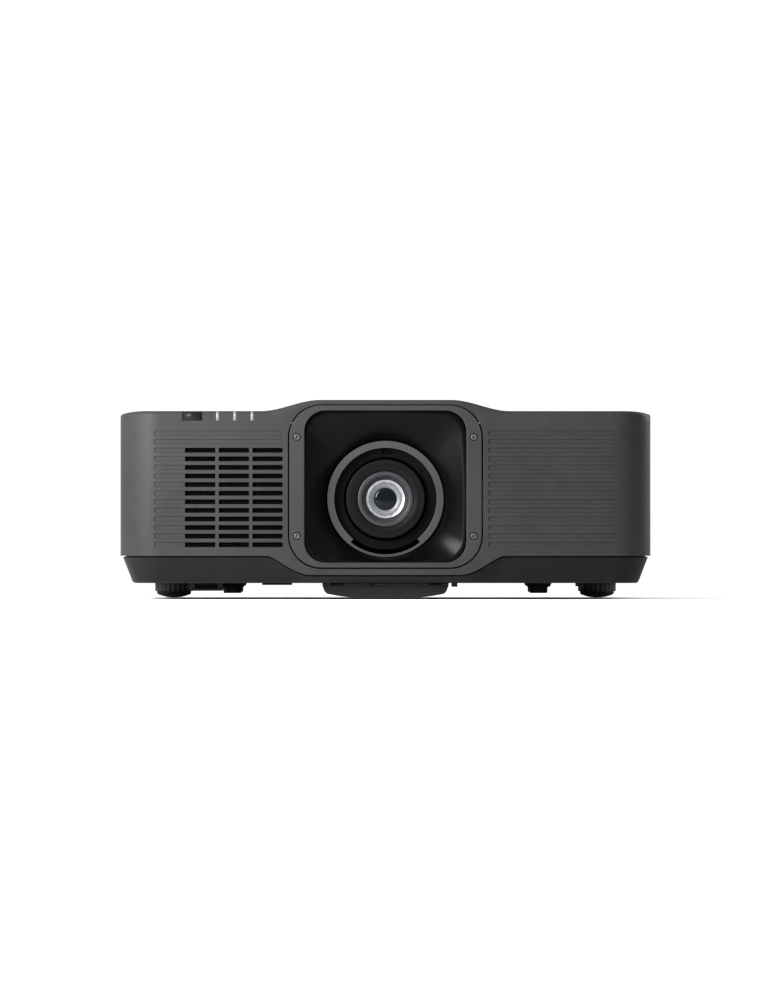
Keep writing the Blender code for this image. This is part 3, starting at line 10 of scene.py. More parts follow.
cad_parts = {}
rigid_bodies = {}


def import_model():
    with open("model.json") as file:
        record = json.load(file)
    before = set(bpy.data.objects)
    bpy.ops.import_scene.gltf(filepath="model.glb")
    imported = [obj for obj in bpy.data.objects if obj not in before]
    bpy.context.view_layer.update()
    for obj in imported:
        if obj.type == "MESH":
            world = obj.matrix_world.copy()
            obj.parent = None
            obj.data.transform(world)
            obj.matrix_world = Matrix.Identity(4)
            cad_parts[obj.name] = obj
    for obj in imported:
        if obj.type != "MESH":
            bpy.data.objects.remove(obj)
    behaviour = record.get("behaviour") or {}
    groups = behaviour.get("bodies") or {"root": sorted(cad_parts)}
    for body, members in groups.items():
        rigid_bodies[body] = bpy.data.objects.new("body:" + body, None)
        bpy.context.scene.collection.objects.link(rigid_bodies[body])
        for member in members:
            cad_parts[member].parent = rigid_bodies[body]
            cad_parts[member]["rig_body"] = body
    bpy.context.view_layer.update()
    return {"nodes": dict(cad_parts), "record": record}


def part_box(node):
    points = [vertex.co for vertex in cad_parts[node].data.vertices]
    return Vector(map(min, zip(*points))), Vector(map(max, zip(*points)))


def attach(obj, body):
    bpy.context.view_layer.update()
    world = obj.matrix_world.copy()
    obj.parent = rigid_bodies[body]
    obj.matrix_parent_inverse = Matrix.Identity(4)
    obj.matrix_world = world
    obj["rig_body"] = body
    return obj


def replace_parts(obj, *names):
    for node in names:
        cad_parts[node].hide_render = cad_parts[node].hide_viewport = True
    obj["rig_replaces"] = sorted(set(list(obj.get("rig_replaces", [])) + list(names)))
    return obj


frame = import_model()


# ---------------------------------------------------------------- sizes from the frame
def low(node):
    return Vector(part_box(node)[0])


def high(node):
    return Vector(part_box(node)[1])


MM = 0.001
HALF = high("front_cover").x
FRONT = low("front_cover").y
FRONT_SEAM = high("front_cover").y
REAR = high("rear_panel").y
LENS = (low("lens_collar") + high("lens_collar")) / 2
COLLAR_OUTER = (high("lens_collar").x - low("lens_collar").x) / 2
LENS.z = high("lens_collar").z - COLLAR_OUTER
FRONT_CORNER = 0.040
REAR_CORNER = 0.020
FLAT_TOP = 0.1881
CROWN_RISE = high("front_cover").z - FLAT_TOP
CROWN_INNER = 0.066
CROWN_OUTER = 0.124
SHOULDER_WIDTH = 0.027
SHOULDER_DROP = 0.0050
CREASE = 0.1783             # where the front starts to lean back under the lid's edge
SHEET_TOP = FLAT_TOP        # where the lid's edge lies on the unrolled sheet
BAND_BOTTOM = low("left_side_cover").z
CASE_SEAM = BAND_BOTTOM - 0.001
SKIRT_DROP = 0.0190
SKIRT_INNER = 0.074
SKIRT_OUTER = 0.118
SKIRT_BIAS = 0.78


def smoothstep(value):
    value = min(max(value, 0.0), 1.0)
    return value * value * (3 - 2 * value)


def crown_share(x):
    """1 on the raised middle of the lid, 0 on its flat sides."""
    return smoothstep((CROWN_OUTER - abs(x)) / (CROWN_OUTER - CROWN_INNER))


def lid_height(x):
    past = min(max((abs(x) - HALF + SHOULDER_WIDTH) / SHOULDER_WIDTH, 0.0), 1.0)
    return FLAT_TOP + CROWN_RISE * crown_share(x) - SHOULDER_DROP * (1 - math.sqrt(1 - past * past))


def seam_height(x):
    """Middle of the groove between the band and the tub, which dips under the lens."""
    share = (SKIRT_OUTER - abs(x)) / (SKIRT_OUTER - SKIRT_INNER)
    return CASE_SEAM - SKIRT_DROP * smoothstep(max(share, 0.0) ** SKIRT_BIAS)


# ---------------------------------------------------------------- the case's outline, unrolled
FRONT_FLAT = HALF - FRONT_CORNER
FRONT_ARC = FRONT_CORNER * math.pi / 2
SIDE_FLAT = REAR - FRONT - FRONT_CORNER - REAR_CORNER
REAR_ARC = REAR_CORNER * math.pi / 2
SIDE_START = FRONT_FLAT + FRONT_ARC
SIDE_END = SIDE_START + SIDE_FLAT
REAR_START = SIDE_END + REAR_ARC
REAR_MIDDLE = REAR_START + HALF - REAR_CORNER
ROUND_OFF = SIDE_START + FRONT_SEAM - (FRONT + FRONT_CORNER)


def outline_point(along):
    """Place and outward normal on the plan outline, `along` metres from the middle of the front."""
    side = math.copysign(1, along)
    run = abs(along)
    if run > REAR_MIDDLE:
        side, run = -side, 2 * REAR_MIDDLE - run
    if run <= FRONT_FLAT:
        return side * run, FRONT, 0.0, -1.0
    if run <= SIDE_START:
        turn = (run - FRONT_FLAT) / FRONT_CORNER
        nx, ny = math.sin(turn), -math.cos(turn)
        x, y = FRONT_FLAT + FRONT_CORNER * nx, FRONT + FRONT_CORNER + FRONT_CORNER * ny
    elif run <= SIDE_END:
        nx, ny = 1.0, 0.0
        x, y = HALF, FRONT + FRONT_CORNER + run - SIDE_START
    elif run <= REAR_START:
        turn = (run - SIDE_END) / REAR_CORNER
        nx, ny = math.cos(turn), math.sin(turn)
        x, y = HALF - REAR_CORNER + REAR_CORNER * nx, REAR - REAR_CORNER + REAR_CORNER * ny
    else:
        nx, ny = 0.0, 1.0
        x, y = HALF - REAR_CORNER - (run - REAR_START), REAR
    return side * x, y, side * nx, ny


def edge_lean(share, crown):
    """How far the wall has leaned back at a share of the way from the crease to the top."""
    facet = 0.52
    if share < facet:
        side = 0.45 * MM * share / facet
    else:
        turn = (share - facet) / (1 - facet)
        side = 0.45 * MM + 5.0 * MM * (1 - math.sqrt(max(1 - turn * turn, 0)))
    turn = max(share - 0.90, 0) / 0.10
    middle = 2.2 * MM * (1 - math.sqrt(max(1 - turn * turn, 0)))
    return side + (middle - side) * crown


def wrap(along, up, out=0.0):
    """Point of the case's skin. Above 1 metre, `up` counts shares of the way from crease to top."""
    x, y, nx, ny = outline_point(along)
    if up < 1:
        return Vector((x + nx * out, y + ny * out, up))
    share = up - 1
    back = edge_lean(share, crown_share(x) if ny < -0.999 else 0.0)
    height = CREASE + (lid_height(x - nx * back) - CREASE) * share
    return Vector((x + nx * (out - back), y + ny * (out - back), height))


def on_sheet(x, z):
    """Place on the unrolled sheet of a point on the front: above the crease it counts shares."""
    if z <= CREASE:
        return x, z
    return x, CREASE + (SHEET_TOP - CREASE) * (z - CREASE) / (lid_height(x) - CREASE)


# ---------------------------------------------------------------- mesh helpers
def rounded_box(left, right, bottom, top, radii, steps=4):
    """Closed outline of a rectangle with its own radius at each corner, from lower right."""
    if not isinstance(radii, (tuple, list)):
        radii = (radii,) * 4
    corners = ((right, bottom, -1, 1, -90), (right, top, -1, -1, 0),
               (left, top, 1, -1, 90), (left, bottom, 1, 1, 180))
    points = []
    for (x, z, dx, dz, start), radius in zip(corners, radii):
        if radius <= 0:
            points.append((x, z))
            continue
        for step in range(steps + 1):
            turn = math.radians(start + 90 * step / steps)
            points.append((x + dx * radius + radius * math.cos(turn),
                           z + dz * radius + radius * math.sin(turn)))
    return points


def ring_of_edges(bm, points):
    """Closed loop of edges through flat points, worked in millimetres so that filling is exact."""
    verts = [bm.verts.new((a * 1000, b * 1000, 0)) for a, b in points]
    return [bm.edges.new((verts[i], verts[(i + 1) % len(verts)])) for i in range(len(verts))]


def slice_at(bm, axis, places):
    """Cuts every face along straight lines across the flat sheet."""
    for place in places:
        spot = [0, 0, 0]
        spot[axis] = place * 1000
        normal = [0, 0, 0]
        normal[axis] = 1
        cut = bmesh.ops.bisect_plane(bm, geom=bm.verts[:] + bm.edges[:] + bm.faces[:], dist=1e-4,
                                     plane_co=spot, plane_no=normal)["geom_cut"]
        for edge in cut:
            if isinstance(edge, bmesh.types.BMEdge):
                edge.seam = True


def fill_sheet(bm, loops):
    """Fills a flat outline around its holes, facing +Z."""
    bmesh.ops.triangle_fill(bm, use_beauty=True, use_dissolve=False, normal=(0, 0, 1),
                            edges=[edge for loop in loops for edge in loop])
    for face in bm.faces:
        face.normal_update()
        if face.normal.z < 0:
            face.normal_flip()


def grow_border(bm, edges, outward, down):
    """Extrudes a border away from the sheet by `outward` and below it by `down`, in millimetres."""
    ring = set(edges)
    away = {}
    for edge in edges:
        face = edge.link_faces[0]
        run = edge.verts[1].co - edge.verts[0].co
        normal = Vector((run.y, -run.x, 0)).normalized()
        middle = (edge.verts[0].co + edge.verts[1].co) / 2
        if normal.dot(middle - face.calc_center_median()) < 0:
            normal.negate()
        for vert in edge.verts:
            away[vert] = away.get(vert, Vector()) + normal
    made = bmesh.ops.extrude_edge_only(bm, edges=edges)["geom"]
    fresh = {item for item in made if isinstance(item, bmesh.types.BMVert)}
    for vert in fresh:
        source = next(edge.other_vert(vert) for edge in vert.link_edges
                      if edge.other_vert(vert) not in fresh)
        vert.co += away[source].normalized() * outward + Vector((0, 0, -down))
    return [item for item in made if isinstance(item, bmesh.types.BMEdge)
            and item not in ring and fresh.issuperset(item.verts)]


def rounded_rim(bm, edges, radius, depth, steps=3):
    """Rounds a border over and turns it in to a depth."""
    across = down = 0.0
    for step in range(1, steps + 1):
        turn = math.pi / 2 * step / steps
        edges = grow_border(bm, edges, radius * math.sin(turn) - across,
                            radius * (1 - math.cos(turn)) - down)
        across, down = radius * math.sin(turn), radius * (1 - math.cos(turn))
    return grow_border(bm, edges, 0.0, depth - down)


def recess(bm, edges, slope, depth):
    """Turns a hole into a shallow recess with a rounded edge and a floor."""
    edges = rounded_rim(bm, edges, slope, depth, 2)
    bmesh.ops.contextual_create(bm, geom=edges)


FLAT = 0.999999             # faces square to an axis are shaded flat
SLIGHT = 0.99               # unless they run into a curve


def finish_piece(name, bm, material, smooth=35):
    """Makes the object of a finished bmesh and shades it smooth up to an angle."""
    mesh = bpy.data.meshes.new(name)
    bm.to_mesh(mesh)
    bm.free()
    mesh.materials.append(material)
    obj = bpy.data.objects.new(name, mesh)
    bpy.context.scene.collection.objects.link(obj)
    mesh.shade_smooth()
    mesh.set_sharp_from_angle(angle=math.radians(smooth))
    around = [[] for vert in mesh.vertices]
    for polygon in mesh.polygons:
        for vert in polygon.vertices:
            around[vert].append(polygon.normal)
    for polygon in mesh.polygons:
        bend = any(SLIGHT < polygon.normal.dot(other) < FLAT for vert in polygon.vertices for other in around[vert])
        if max(abs(part) for part in polygon.normal) > FLAT and not bend:
            polygon.use_smooth = False
    return obj


def add_bevel(obj, width, segments=2, angle=30):
    """Rounds the edges that are sharper than the angle."""
    bevel = obj.modifiers.new("edges", "BEVEL")
    bevel.width = width
    bevel.segments = segments
    bevel.limit_method = "ANGLE"
    bevel.angle_limit = math.radians(angle)
    bevel.harden_normals = False
    return bevel


def add_wall(obj, thickness):
    """Gives an outward-facing sheet its thickness, inwards."""
    wall = obj.modifiers.new("wall", "SOLIDIFY")
    wall.thickness = thickness
    wall.offset = -1
    wall.use_even_offset = False
    return wall


def install(obj, body, slot, *nodes):
    """Hands a finished piece to its body, in place of the solids it stands for."""
    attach(obj, body)
    if nodes:
        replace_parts(obj, *nodes)
    return obj


# ---------------------------------------------------------------- shader expressions
class Field:
    """A value that varies over a surface. Ordinary arithmetic on it adds Math nodes."""

    def __init__(self, finish, socket):
        self.finish = finish
        self.socket = socket

    def math(self, operation, first, second=None):
        inputs = {0: first} if second is None else {0: first, 1: second}
        return self.finish.node("ShaderNodeMath", {"operation": operation}, inputs)

    def __add__(self, other):
        return self.math("ADD", self, other)

    def __radd__(self, other):
        return self.math("ADD", other, self)

    def __sub__(self, other):
        return self.math("SUBTRACT", self, other)

    def __rsub__(self, other):
        return self.math("SUBTRACT", other, self)

    def __mul__(self, other):
        return self.math("MULTIPLY", self, other)

    def __rmul__(self, other):
        return self.math("MULTIPLY", other, self)

    def __truediv__(self, other):
        return self.math("DIVIDE", self, other)

    def __pow__(self, other):
        return self.math("POWER", self, other)

    def band(self, start, end):
        """0 below start, 1 above end, smooth between."""
        settings = {"interpolation_type": "SMOOTHSTEP"}
        return self.finish.node("ShaderNodeMapRange", settings, {0: self, 1: start, 2: end, 3: 0.0, 4: 1.0})


class Finish:
    """A procedural surface finish built on one Principled shader."""

    def __init__(self, name, colour, roughness, metallic=0.0, **constants):
        self.material = bpy.data.materials.new(name)
        self.material.use_nodes = True
        self.tree = self.material.node_tree
        self.shader = self.tree.nodes["Principled BSDF"]
        self.shader.inputs["Base Color"].default_value = (*colour, 1)
        self.shader.inputs["Roughness"].default_value = roughness
        self.shader.inputs["Metallic"].default_value = metallic
        for key, value in constants.items():
            self.shader.inputs[key.replace("_", " ").title().replace("Ior", "IOR")].default_value = value
        self.colour = colour
        self.material.diffuse_color = (*colour, 1)

    def node(self, kind, settings, inputs, output=0):
        node = self.tree.nodes.new(kind)
        for key, value in settings.items():
            setattr(node, key, value)
        for key, value in inputs.items():
            if isinstance(value, Field):
                self.tree.links.new(value.socket, node.inputs[key])
            else:
                node.inputs[key].default_value = value
        return Field(self, node.outputs[output])

    def place(self, scale=(1, 1, 1)):
        spot = self.node("ShaderNodeTexCoord", {}, {}, "Object")
        return self.node("ShaderNodeMapping", {}, {"Vector": spot, "Scale": scale})

    def noise(self, scale, detail=3.0, rough=0.5, stretch=(1, 1, 1)):
        return self.node("ShaderNodeTexNoise", {}, {
            "Vector": self.place(stretch), "Scale": scale, "Detail": detail, "Roughness": rough})

    def cells(self, scale, feature="F1", stretch=(1, 1, 1)):
        return self.node("ShaderNodeTexVoronoi", {"feature": feature},
                         {"Vector": self.place(stretch), "Scale": scale})

    def blend(self, share, first, second):
        return self.node("ShaderNodeMix", {"data_type": "RGBA"}, {
            0: share, 6: (*first, 1), 7: (*second, 1)}, 2)

    def send(self, value, name):
        self.tree.links.new(value.socket, self.shader.inputs[name])

    def relief(self, height, distance, strength=1.0):
        bump = self.node("ShaderNodeBump", {}, {"Height": height, "Distance": distance, "Strength": strength})
        self.send(bump, "Normal")


def shade(colour, factor):
    return tuple(min(channel * factor, 1.0) for channel in colour)


def moulded_plastic(name, colour, roughness, grain=2600.0, depth=0.00003, mottle=0.10, sheen=0.15):
    """Spark-eroded moulded plastic: fine grain, faint flow mottling and slightly uneven gloss."""
    finish = Finish(name, colour, roughness, specular_ior_level=sheen)
    flow = finish.noise(9.0, 2.0)
    cloud = finish.noise(60.0, 3.0)
    tone = (flow * 0.6 + cloud * 0.4).band(0.35, 0.65)
    finish.send(finish.blend(tone, shade(colour, 1 - mottle), shade(colour, 1 + mottle)), "Base Color")
    fine = finish.noise(grain, 2.0, 0.6)
    pits = finish.cells(grain * 0.5)
    finish.send(roughness - 0.05 + cloud * 0.06 + fine * 0.06, "Roughness")
    finish.relief(fine * 0.7 + pits * 0.5, depth, 0.8)
    return finish.material


def gloss_plastic(name, colour, roughness, sheen):
    """Polished black plastic with a faint ripple and a little dust haze."""
    finish = Finish(name, colour, roughness, specular_ior_level=sheen)
    ripple = finish.noise(35.0, 1.0)
    haze = finish.noise(900.0, 3.0, 0.7).band(0.45, 0.85)
    finish.send(finish.blend(haze, colour, shade(colour, 1.8)), "Base Color")
    finish.send(roughness + haze * 0.10 + ripple * 0.03, "Roughness")
    finish.relief(ripple, 0.00006, 0.3)
    return finish.material


def turned_metal(name, colour, roughness, metallic=1.0, pitch=4500.0, relief=0.00001, **constants):
    """Lathe-turned metal: fine rings about the lens axis, and slightly varied polish."""
    finish = Finish(name, colour, roughness, metallic, **constants)
    spot = finish.node("ShaderNodeTexCoord", {}, {}, "Object")
    radial = finish.node("ShaderNodeVectorMath", {"operation": "DISTANCE"}, {
        0: finish.node("ShaderNodeVectorMath", {"operation": "MULTIPLY"}, {0: spot, 1: (1, 0, 1)}),
        1: (LENS.x, 0, LENS.z)}, 1)
    rings = finish.node("ShaderNodeMath", {"operation": "SINE"}, {0: radial * pitch})
    cloud = finish.noise(250.0, 2.0)
    finish.send(finish.blend(cloud.band(0.3, 0.7), shade(colour, 0.88), shade(colour, 1.10)), "Base Color")
    finish.send(roughness + rings * 0.03 + cloud * 0.06, "Roughness")
    finish.relief(rings * 0.5 + finish.noise(3000.0, 1.0) * 0.2, relief, 0.5)
    return finish.material


def sheet_metal(name, colour, roughness, metallic=1.0, stretch=(1, 25, 25), **constants):
    """Rolled or plated sheet: faint directional scratches and cloudy plating."""
    finish = Finish(name, colour, roughness, metallic, **constants)
    scratches = finish.noise(300.0, 3.0, 0.6, stretch)
    cloud = finish.noise(40.0, 3.0)
    finish.send(finish.blend(cloud.band(0.3, 0.7), shade(colour, 0.85), shade(colour, 1.08)), "Base Color")
    finish.send(roughness - 0.05 + scratches * 0.16 + cloud * 0.05, "Roughness")
    finish.relief(scratches, 0.00002, 0.5)
    return finish.material


def soft_rubber(name, colour):
    """Moulded rubber: matt, slightly chalky on its open faces."""
    finish = Finish(name, colour, 0.8, specular_ior_level=0.15)
    chalk = finish.noise(500.0, 4.0, 0.7)
    finish.send(finish.blend(chalk.band(0.4, 0.8), colour, shade(colour, 1.7)), "Base Color")
    finish.send(0.72 + chalk * 0.2, "Roughness")
    finish.relief(chalk + finish.noise(2500.0, 1.0) * 0.5, 0.00006, 0.6)
    return finish.material


def open_foam(name, colour):
    """Reticulated filter foam: dark open cells."""
    finish = Finish(name, colour, 0.95, specular_ior_level=0.0)
    cells = finish.cells(700.0, "DISTANCE_TO_EDGE")
    web = cells.band(0.02, 0.14)
    finish.send(finish.blend(web, shade(colour, 1.5), shade(colour, 0.25)), "Base Color")
    finish.send(1.0 - web * 0.1, "Roughness")
    finish.relief(1 - web, 0.0003, 0.8)
    return finish.material


def circuit_board(name, colour):
    """Solder mask over copper tracks."""
    finish = Finish(name, colour, 0.4)
    tracks = finish.node("ShaderNodeTexBrick", {"offset": 0.5}, {
        "Vector": finish.place(), "Scale": 120.0, "Mortar Size": 0.03, "Color1": (0, 0, 0, 1),
        "Color2": (0, 0, 0, 1), "Mortar": (1, 1, 1, 1)}, 1)
    finish.send(finish.blend(tracks, colour, shade(colour, 1.8)), "Base Color")
    finish.send(0.34 + tracks * 0.15 + finish.noise(300.0) * 0.08, "Roughness")
    finish.relief(tracks, 0.00004, 0.6)
    return finish.material


def coated_glass(name, colour, painted_reflection_tint):
    """Front element: dark glass, with the coating's bluish reflection painted into its colour towards the rim,
    where the view grazes.
    """
    finish = Finish(name, colour, 0.02, specular_ior_level=0.10)
    # painted reflection: the coating's tint is blended into the base colour at grazing angles
    rim_reflection_mask = finish.node("ShaderNodeLayerWeight", {}, {"Blend": 0.35}, "Facing")
    finish.send(finish.blend(rim_reflection_mask, colour, painted_reflection_tint), "Base Color")
    finish.send(0.02 + finish.noise(400.0, 2.0).band(0.6, 0.9) * 0.04, "Roughness")
    return finish.material


def light_pipe(name, colour):
    """Milky light guide, with a faint random haze in its tone."""
    finish = Finish(name, colour, 0.35, subsurface_weight=0.2, subsurface_radius=(0.002, 0.002, 0.002))
    haze = finish.noise(1200.0, 2.0)
    finish.send(finish.blend(haze.band(0.3, 0.7), shade(colour, 0.93), shade(colour, 1.05)), "Base Color")
    finish.send(0.3 + haze * 0.15, "Roughness")
    return finish.material


CHARCOAL = moulded_plastic("charcoal_cover_plastic", (0.0170, 0.0170, 0.0176), 0.46, sheen=0.06)
BEZEL_GREY = moulded_plastic("bezel_plastic", (0.0190, 0.0190, 0.0196), 0.44, 3000.0, 0.00002, 0.06, 0.06)
# The tub's darker colour paints in shade: its downward-sloping faces get less light, and that drop is painted into
# this base colour as well.
TUB_BLACK_PAINTED_SHADE = moulded_plastic("tub_plastic", (0.0048, 0.0048, 0.0051), 0.52, 2000.0, 0.00005, sheen=0.06)
DARK_PLASTIC = moulded_plastic("dark_moulding", (0.014, 0.014, 0.015), 0.5, 2200.0, 0.00004, sheen=0.12)
KEY_PLASTIC = moulded_plastic("key_plastic", (0.020, 0.020, 0.021), 0.4, 3200.0, 0.00002, sheen=0.2)
GLOSS = gloss_plastic("gloss_black", (0.0010, 0.0010, 0.0011), 0.26, 0.045)
WINDOW = gloss_plastic("receiver_window", (0.005, 0.004, 0.0045), 0.35, 0.08)
BLACK_METAL = turned_metal("black_anodised", (0.0020, 0.0020, 0.0022), 0.38, 0.0, specular_ior_level=0.02)
BARREL_BLACK = turned_metal("barrel_black", (0.0030, 0.0030, 0.0033), 0.42, 0.0, specular_ior_level=0.04)
RING_GREY = turned_metal("trim_ring", (0.014, 0.014, 0.016), 0.34, 0.0, specular_ior_level=0.2)
SILVER = turned_metal("bright_ring", (0.76, 0.77, 0.78), 0.34, 1.0, relief=0.000002)
SCREW_METAL = turned_metal("screw_black_oxide", (0.030, 0.030, 0.032), 0.34, 0.3, specular_ior_level=0.3)
STEEL = sheet_metal("plated_steel", (0.42, 0.42, 0.43), 0.34)
BLACK_SHEET = sheet_metal("black_painted_sheet", (0.010, 0.010, 0.011), 0.45, 0.0, specular_ior_level=0.15)
RUBBER = soft_rubber("foot_rubber", (0.014, 0.014, 0.014))
FOAM = open_foam("filter_foam", (0.002, 0.002, 0.002))
BOARD = circuit_board("circuit_board", (0.010, 0.055, 0.028))
# Dark glass with a painted bluish reflection of its coating towards the rim.
GLASS = coated_glass("front_element_glass", (0.001, 0.0015, 0.003), (0.02, 0.03, 0.06))
LIGHT_PIPE = light_pipe("status_light_pipe", (0.090, 0.092, 0.095))
COLLAR_GREY = moulded_plastic("collar_plastic", (0.022, 0.022, 0.023), 0.40, 3000.0, 0.00002, 0.06, 0.15)
BAND_GREY = turned_metal("pupil_band_metal", (0.060, 0.062, 0.066), 0.45, 0.0, relief=0.000002)
FIN_METAL = sheet_metal("extruded_aluminium", (0.55, 0.55, 0.56), 0.36)
# Lighter than the other dark mouldings: painted light, standing in for the fill that the knobs miss while shaded by
# the tub.
KNOB_PLASTIC_PAINTED_FILL = moulded_plastic("knob_moulding", (0.030, 0.030, 0.031), 0.45, 2200.0, 0.00003, sheen=0.2)
FOOT_PLASTIC = moulded_plastic("foot_moulding", (0.008, 0.008, 0.0085), 0.55, 1800.0, 0.00005, sheen=0.06)


# ---------------------------------------------------------------- case covers
LID_SHARES = (0.52, 0.60, 0.68, 0.76, 0.84, 0.90, 0.94, 0.97)
CROWN_STEPS = 14
CORNER_STEPS = 20
WALL = 2.4                  # depth in millimetres of the turned-in rims
LIP = 0.35                  # rounding of the moulded edges, in millimetres

RIB_ROWS = 14
RIB_TOP = 0.1688
RIB_PITCH = 0.008573
RIB_HEIGHT = 0.0054
RIB_LEFT = (-0.231, -0.102)
RIB_RIGHT = (0.1027, 0.230)
RIB_END = 0.0016
RIB_DEPTH = 0.96
VENT_FIRST = 2
VENT_COLUMNS = ((-0.2004, -0.1695), (-0.1666, -0.1358), (-0.1330, -0.1022))
BEZEL_GROOVE = 0.0017
BEZEL_CORNER = 0.032
OPENING_CORNER = 0.021
STATUS_LIGHTS = (-0.1676, -0.1503, -0.1330)
STATUS_WIDTH = 0.003


def skirt_places():
    """Places across the front where the dipping seam needs a point, left to right."""
    right = [SKIRT_INNER + (SKIRT_OUTER - SKIRT_INNER) * step / 16 for step in range(17)]
    return [-place for place in reversed(right)] + right


def bend_sheet(bm, skin):
    """Slices the flat sheet where the case curves, and lays it on the case's skin."""
    ends = [vert.co.x / 1000 for vert in bm.verts]
    places = [CROWN_INNER + (CROWN_OUTER - CROWN_INNER) * step / CROWN_STEPS for step in range(CROWN_STEPS + 1)]
    places += [FRONT_FLAT + FRONT_ARC * step / CORNER_STEPS for step in range(CORNER_STEPS + 1)]
    places += [HALF - SHOULDER_WIDTH - 0.004, HALF - SHOULDER_WIDTH + 0.003]
    places += [FRONT_FLAT - 0.003, SIDE_START + 0.003, SIDE_END - 0.003]
    places += [SIDE_END + REAR_ARC * step / CORNER_STEPS for step in range(CORNER_STEPS + 1)]
    places += [2 * REAR_MIDDLE - place for place in places if place > SIDE_START]
    for side in (-1, 1):
        slice_at(bm, 0, [side * place for place in places if min(ends) < side * place < max(ends)])
    slice_at(bm, 1, [CREASE] + [CREASE + (SHEET_TOP - CREASE) * share for share in LID_SHARES])
    for vert in bm.verts:
        along, up, out = vert.co * MM
        if up > CREASE:
            up = 1 + (up - CREASE) / (SHEET_TOP - CREASE)
        vert.co = skin(along, up, out)


def grow_roof(bm, edges, rear):
    """Extrudes the lid's edge back to a line across the case."""
    for reach in (0.002, 1.0):
        made = bmesh.ops.extrude_edge_only(bm, edges=edges)["geom"]
        fresh = {item for item in made if isinstance(item, bmesh.types.BMVert)}
        for vert in fresh:
            vert.co.y = min(vert.co.y + reach, rear)
            vert.co.z = lid_height(vert.co.x)
        edges = [item for item in made if isinstance(item, bmesh.types.BMEdge) and fresh.issuperset(item.verts)]
        for edge in edges:
            edge.seam = True


def turn_roof_up(bm):
    """Turns roof faces that look down, so that the wall grows inwards everywhere."""
    for face in bm.faces:
        face.normal_update()
        if face.normal.z < -0.9 and face.calc_center_median().z > CREASE:
            face.normal_flip()


def top_border(bm):
    """Border edges that lie along the lid's edge of a flat sheet."""
    level = SHEET_TOP * 1000 - 0.001
    return [edge for edge in bm.edges if edge.is_boundary and all(v.co.y > level for v in edge.verts)]


def clean(bm):
    bmesh.ops.remove_doubles(bm, verts=bm.verts, dist=0.00001)
    bmesh.ops.dissolve_degenerate(bm, edges=bm.edges, dist=0.00001)
    bmesh.ops.dissolve_limit(bm, angle_limit=math.radians(0.1), verts=bm.verts, edges=bm.edges, delimit={"SEAM"})


def rib_loops(bm):
    """Outlines of the shallow ribs, which stop short of the air slots."""
    loops = []
    for row in range(RIB_ROWS):
        top = RIB_TOP - RIB_PITCH * row
        left, right = RIB_LEFT
        radii = RIB_END
        if row >= VENT_FIRST:
            right = VENT_COLUMNS[0][0] - 0.0006
            radii = (0.0002, 0.0002, RIB_END, RIB_END)
        for start, end, corner in ((left, right, radii), (*RIB_RIGHT, RIB_END)):
            loops.append(ring_of_edges(bm, rounded_box(start, end, top - RIB_HEIGHT, top, corner)))
    return loops


def vent_loops(bm):
    """Outlines of the air slots, in three columns."""
    loops = []
    for row in range(VENT_FIRST, RIB_ROWS):
        top = RIB_TOP - RIB_PITCH * row
        for number, (left, right) in enumerate(VENT_COLUMNS):
            end = 0.0018 if number == 2 else 0.0005
            radii = (end, end, 0.0005, 0.0005)
            loops.append(ring_of_edges(bm, rounded_box(left, right, top - RIB_HEIGHT, top, radii, 3)))
    return loops


def front_cover():
    """Front cover: band, ribs, air slots, opening for the bezel, slits for the inlays, and front of the lid."""
    bm = bmesh.new()
    outline = [(-ROUND_OFF, BAND_BOTTOM)]
    outline += [(x, seam_height(x) + BAND_BOTTOM - CASE_SEAM) for x in skirt_places()]
    outline += [(ROUND_OFF, BAND_BOTTOM), (ROUND_OFF, SHEET_TOP), (-ROUND_OFF, SHEET_TOP)]
    border = ring_of_edges(bm, outline)
    box_low, box_high = low("lens_bezel"), high("lens_bezel")
    bezel = rounded_box(box_low.x - BEZEL_GROOVE, box_high.x + BEZEL_GROOVE, box_low.z - BEZEL_GROOVE,
                        box_high.z + BEZEL_GROOVE, BEZEL_CORNER + BEZEL_GROOVE, 14)
    holes = [ring_of_edges(bm, [on_sheet(x, z) for x, z in bezel])]
    window_low, window_high = low("remote_window"), high("remote_window")
    places = [(window_low.x - 0.0002, window_high.x + 0.0002)]
    for light in STATUS_LIGHTS:
        places.append((light - STATUS_WIDTH / 2 - 0.0001, light + STATUS_WIDTH / 2 + 0.0001))
    slits = [ring_of_edges(bm, rounded_box(left, right, CREASE + 0.0002, SHEET_TOP - 0.0003, 0))
             for left, right in places]
    ribs = rib_loops(bm)
    vents = vent_loops(bm)
    fill_sheet(bm, [border] + holes + slits + ribs + vents)
    roof = top_border(bm)
    rim = [edge for edge in border if edge not in roof]
    for loop in ribs:
        recess(bm, loop, 0.30, RIB_DEPTH)
    for loop in vents:
        rounded_rim(bm, loop, 0.3, WALL, 2)
    for loop in slits:
        rounded_rim(bm, loop, 0.1, WALL, 1)
    rounded_rim(bm, holes[0], LIP, 4.0)
    rounded_rim(bm, rim, LIP, WALL)
    bend_sheet(bm, wrap)
    edges = [edge for edge in bm.edges if edge.is_boundary and all(
        abs(v.co.z - lid_height(v.co.x)) < 0.00002 for v in edge.verts)]
    grow_roof(bm, edges, FRONT_SEAM)
    clean(bm)
    turn_roof_up(bm)
    obj = finish_piece("front_cover_shell", bm, CHARCOAL, 15)
    add_wall(obj, COVER_WALL)
    install(obj, "housing", "case_plastic", "front_cover")


def lay_flat(bm, front):
    """Stands a flat sheet upright, facing the front, at a depth."""
    for vert in bm.verts:
        across, up, out = vert.co * MM
        vert.co = (across, front - out, up)


def arc(radius, start, sweep, steps, centre=(0.0, 0.0)):
    """Points along an arc, with both ends; angles in degrees."""
    turns = [math.radians(start + sweep * step / steps) for step in range(steps + 1)]
    return [(centre[0] + radius * math.cos(turn), centre[1] + radius * math.sin(turn)) for turn in turns]


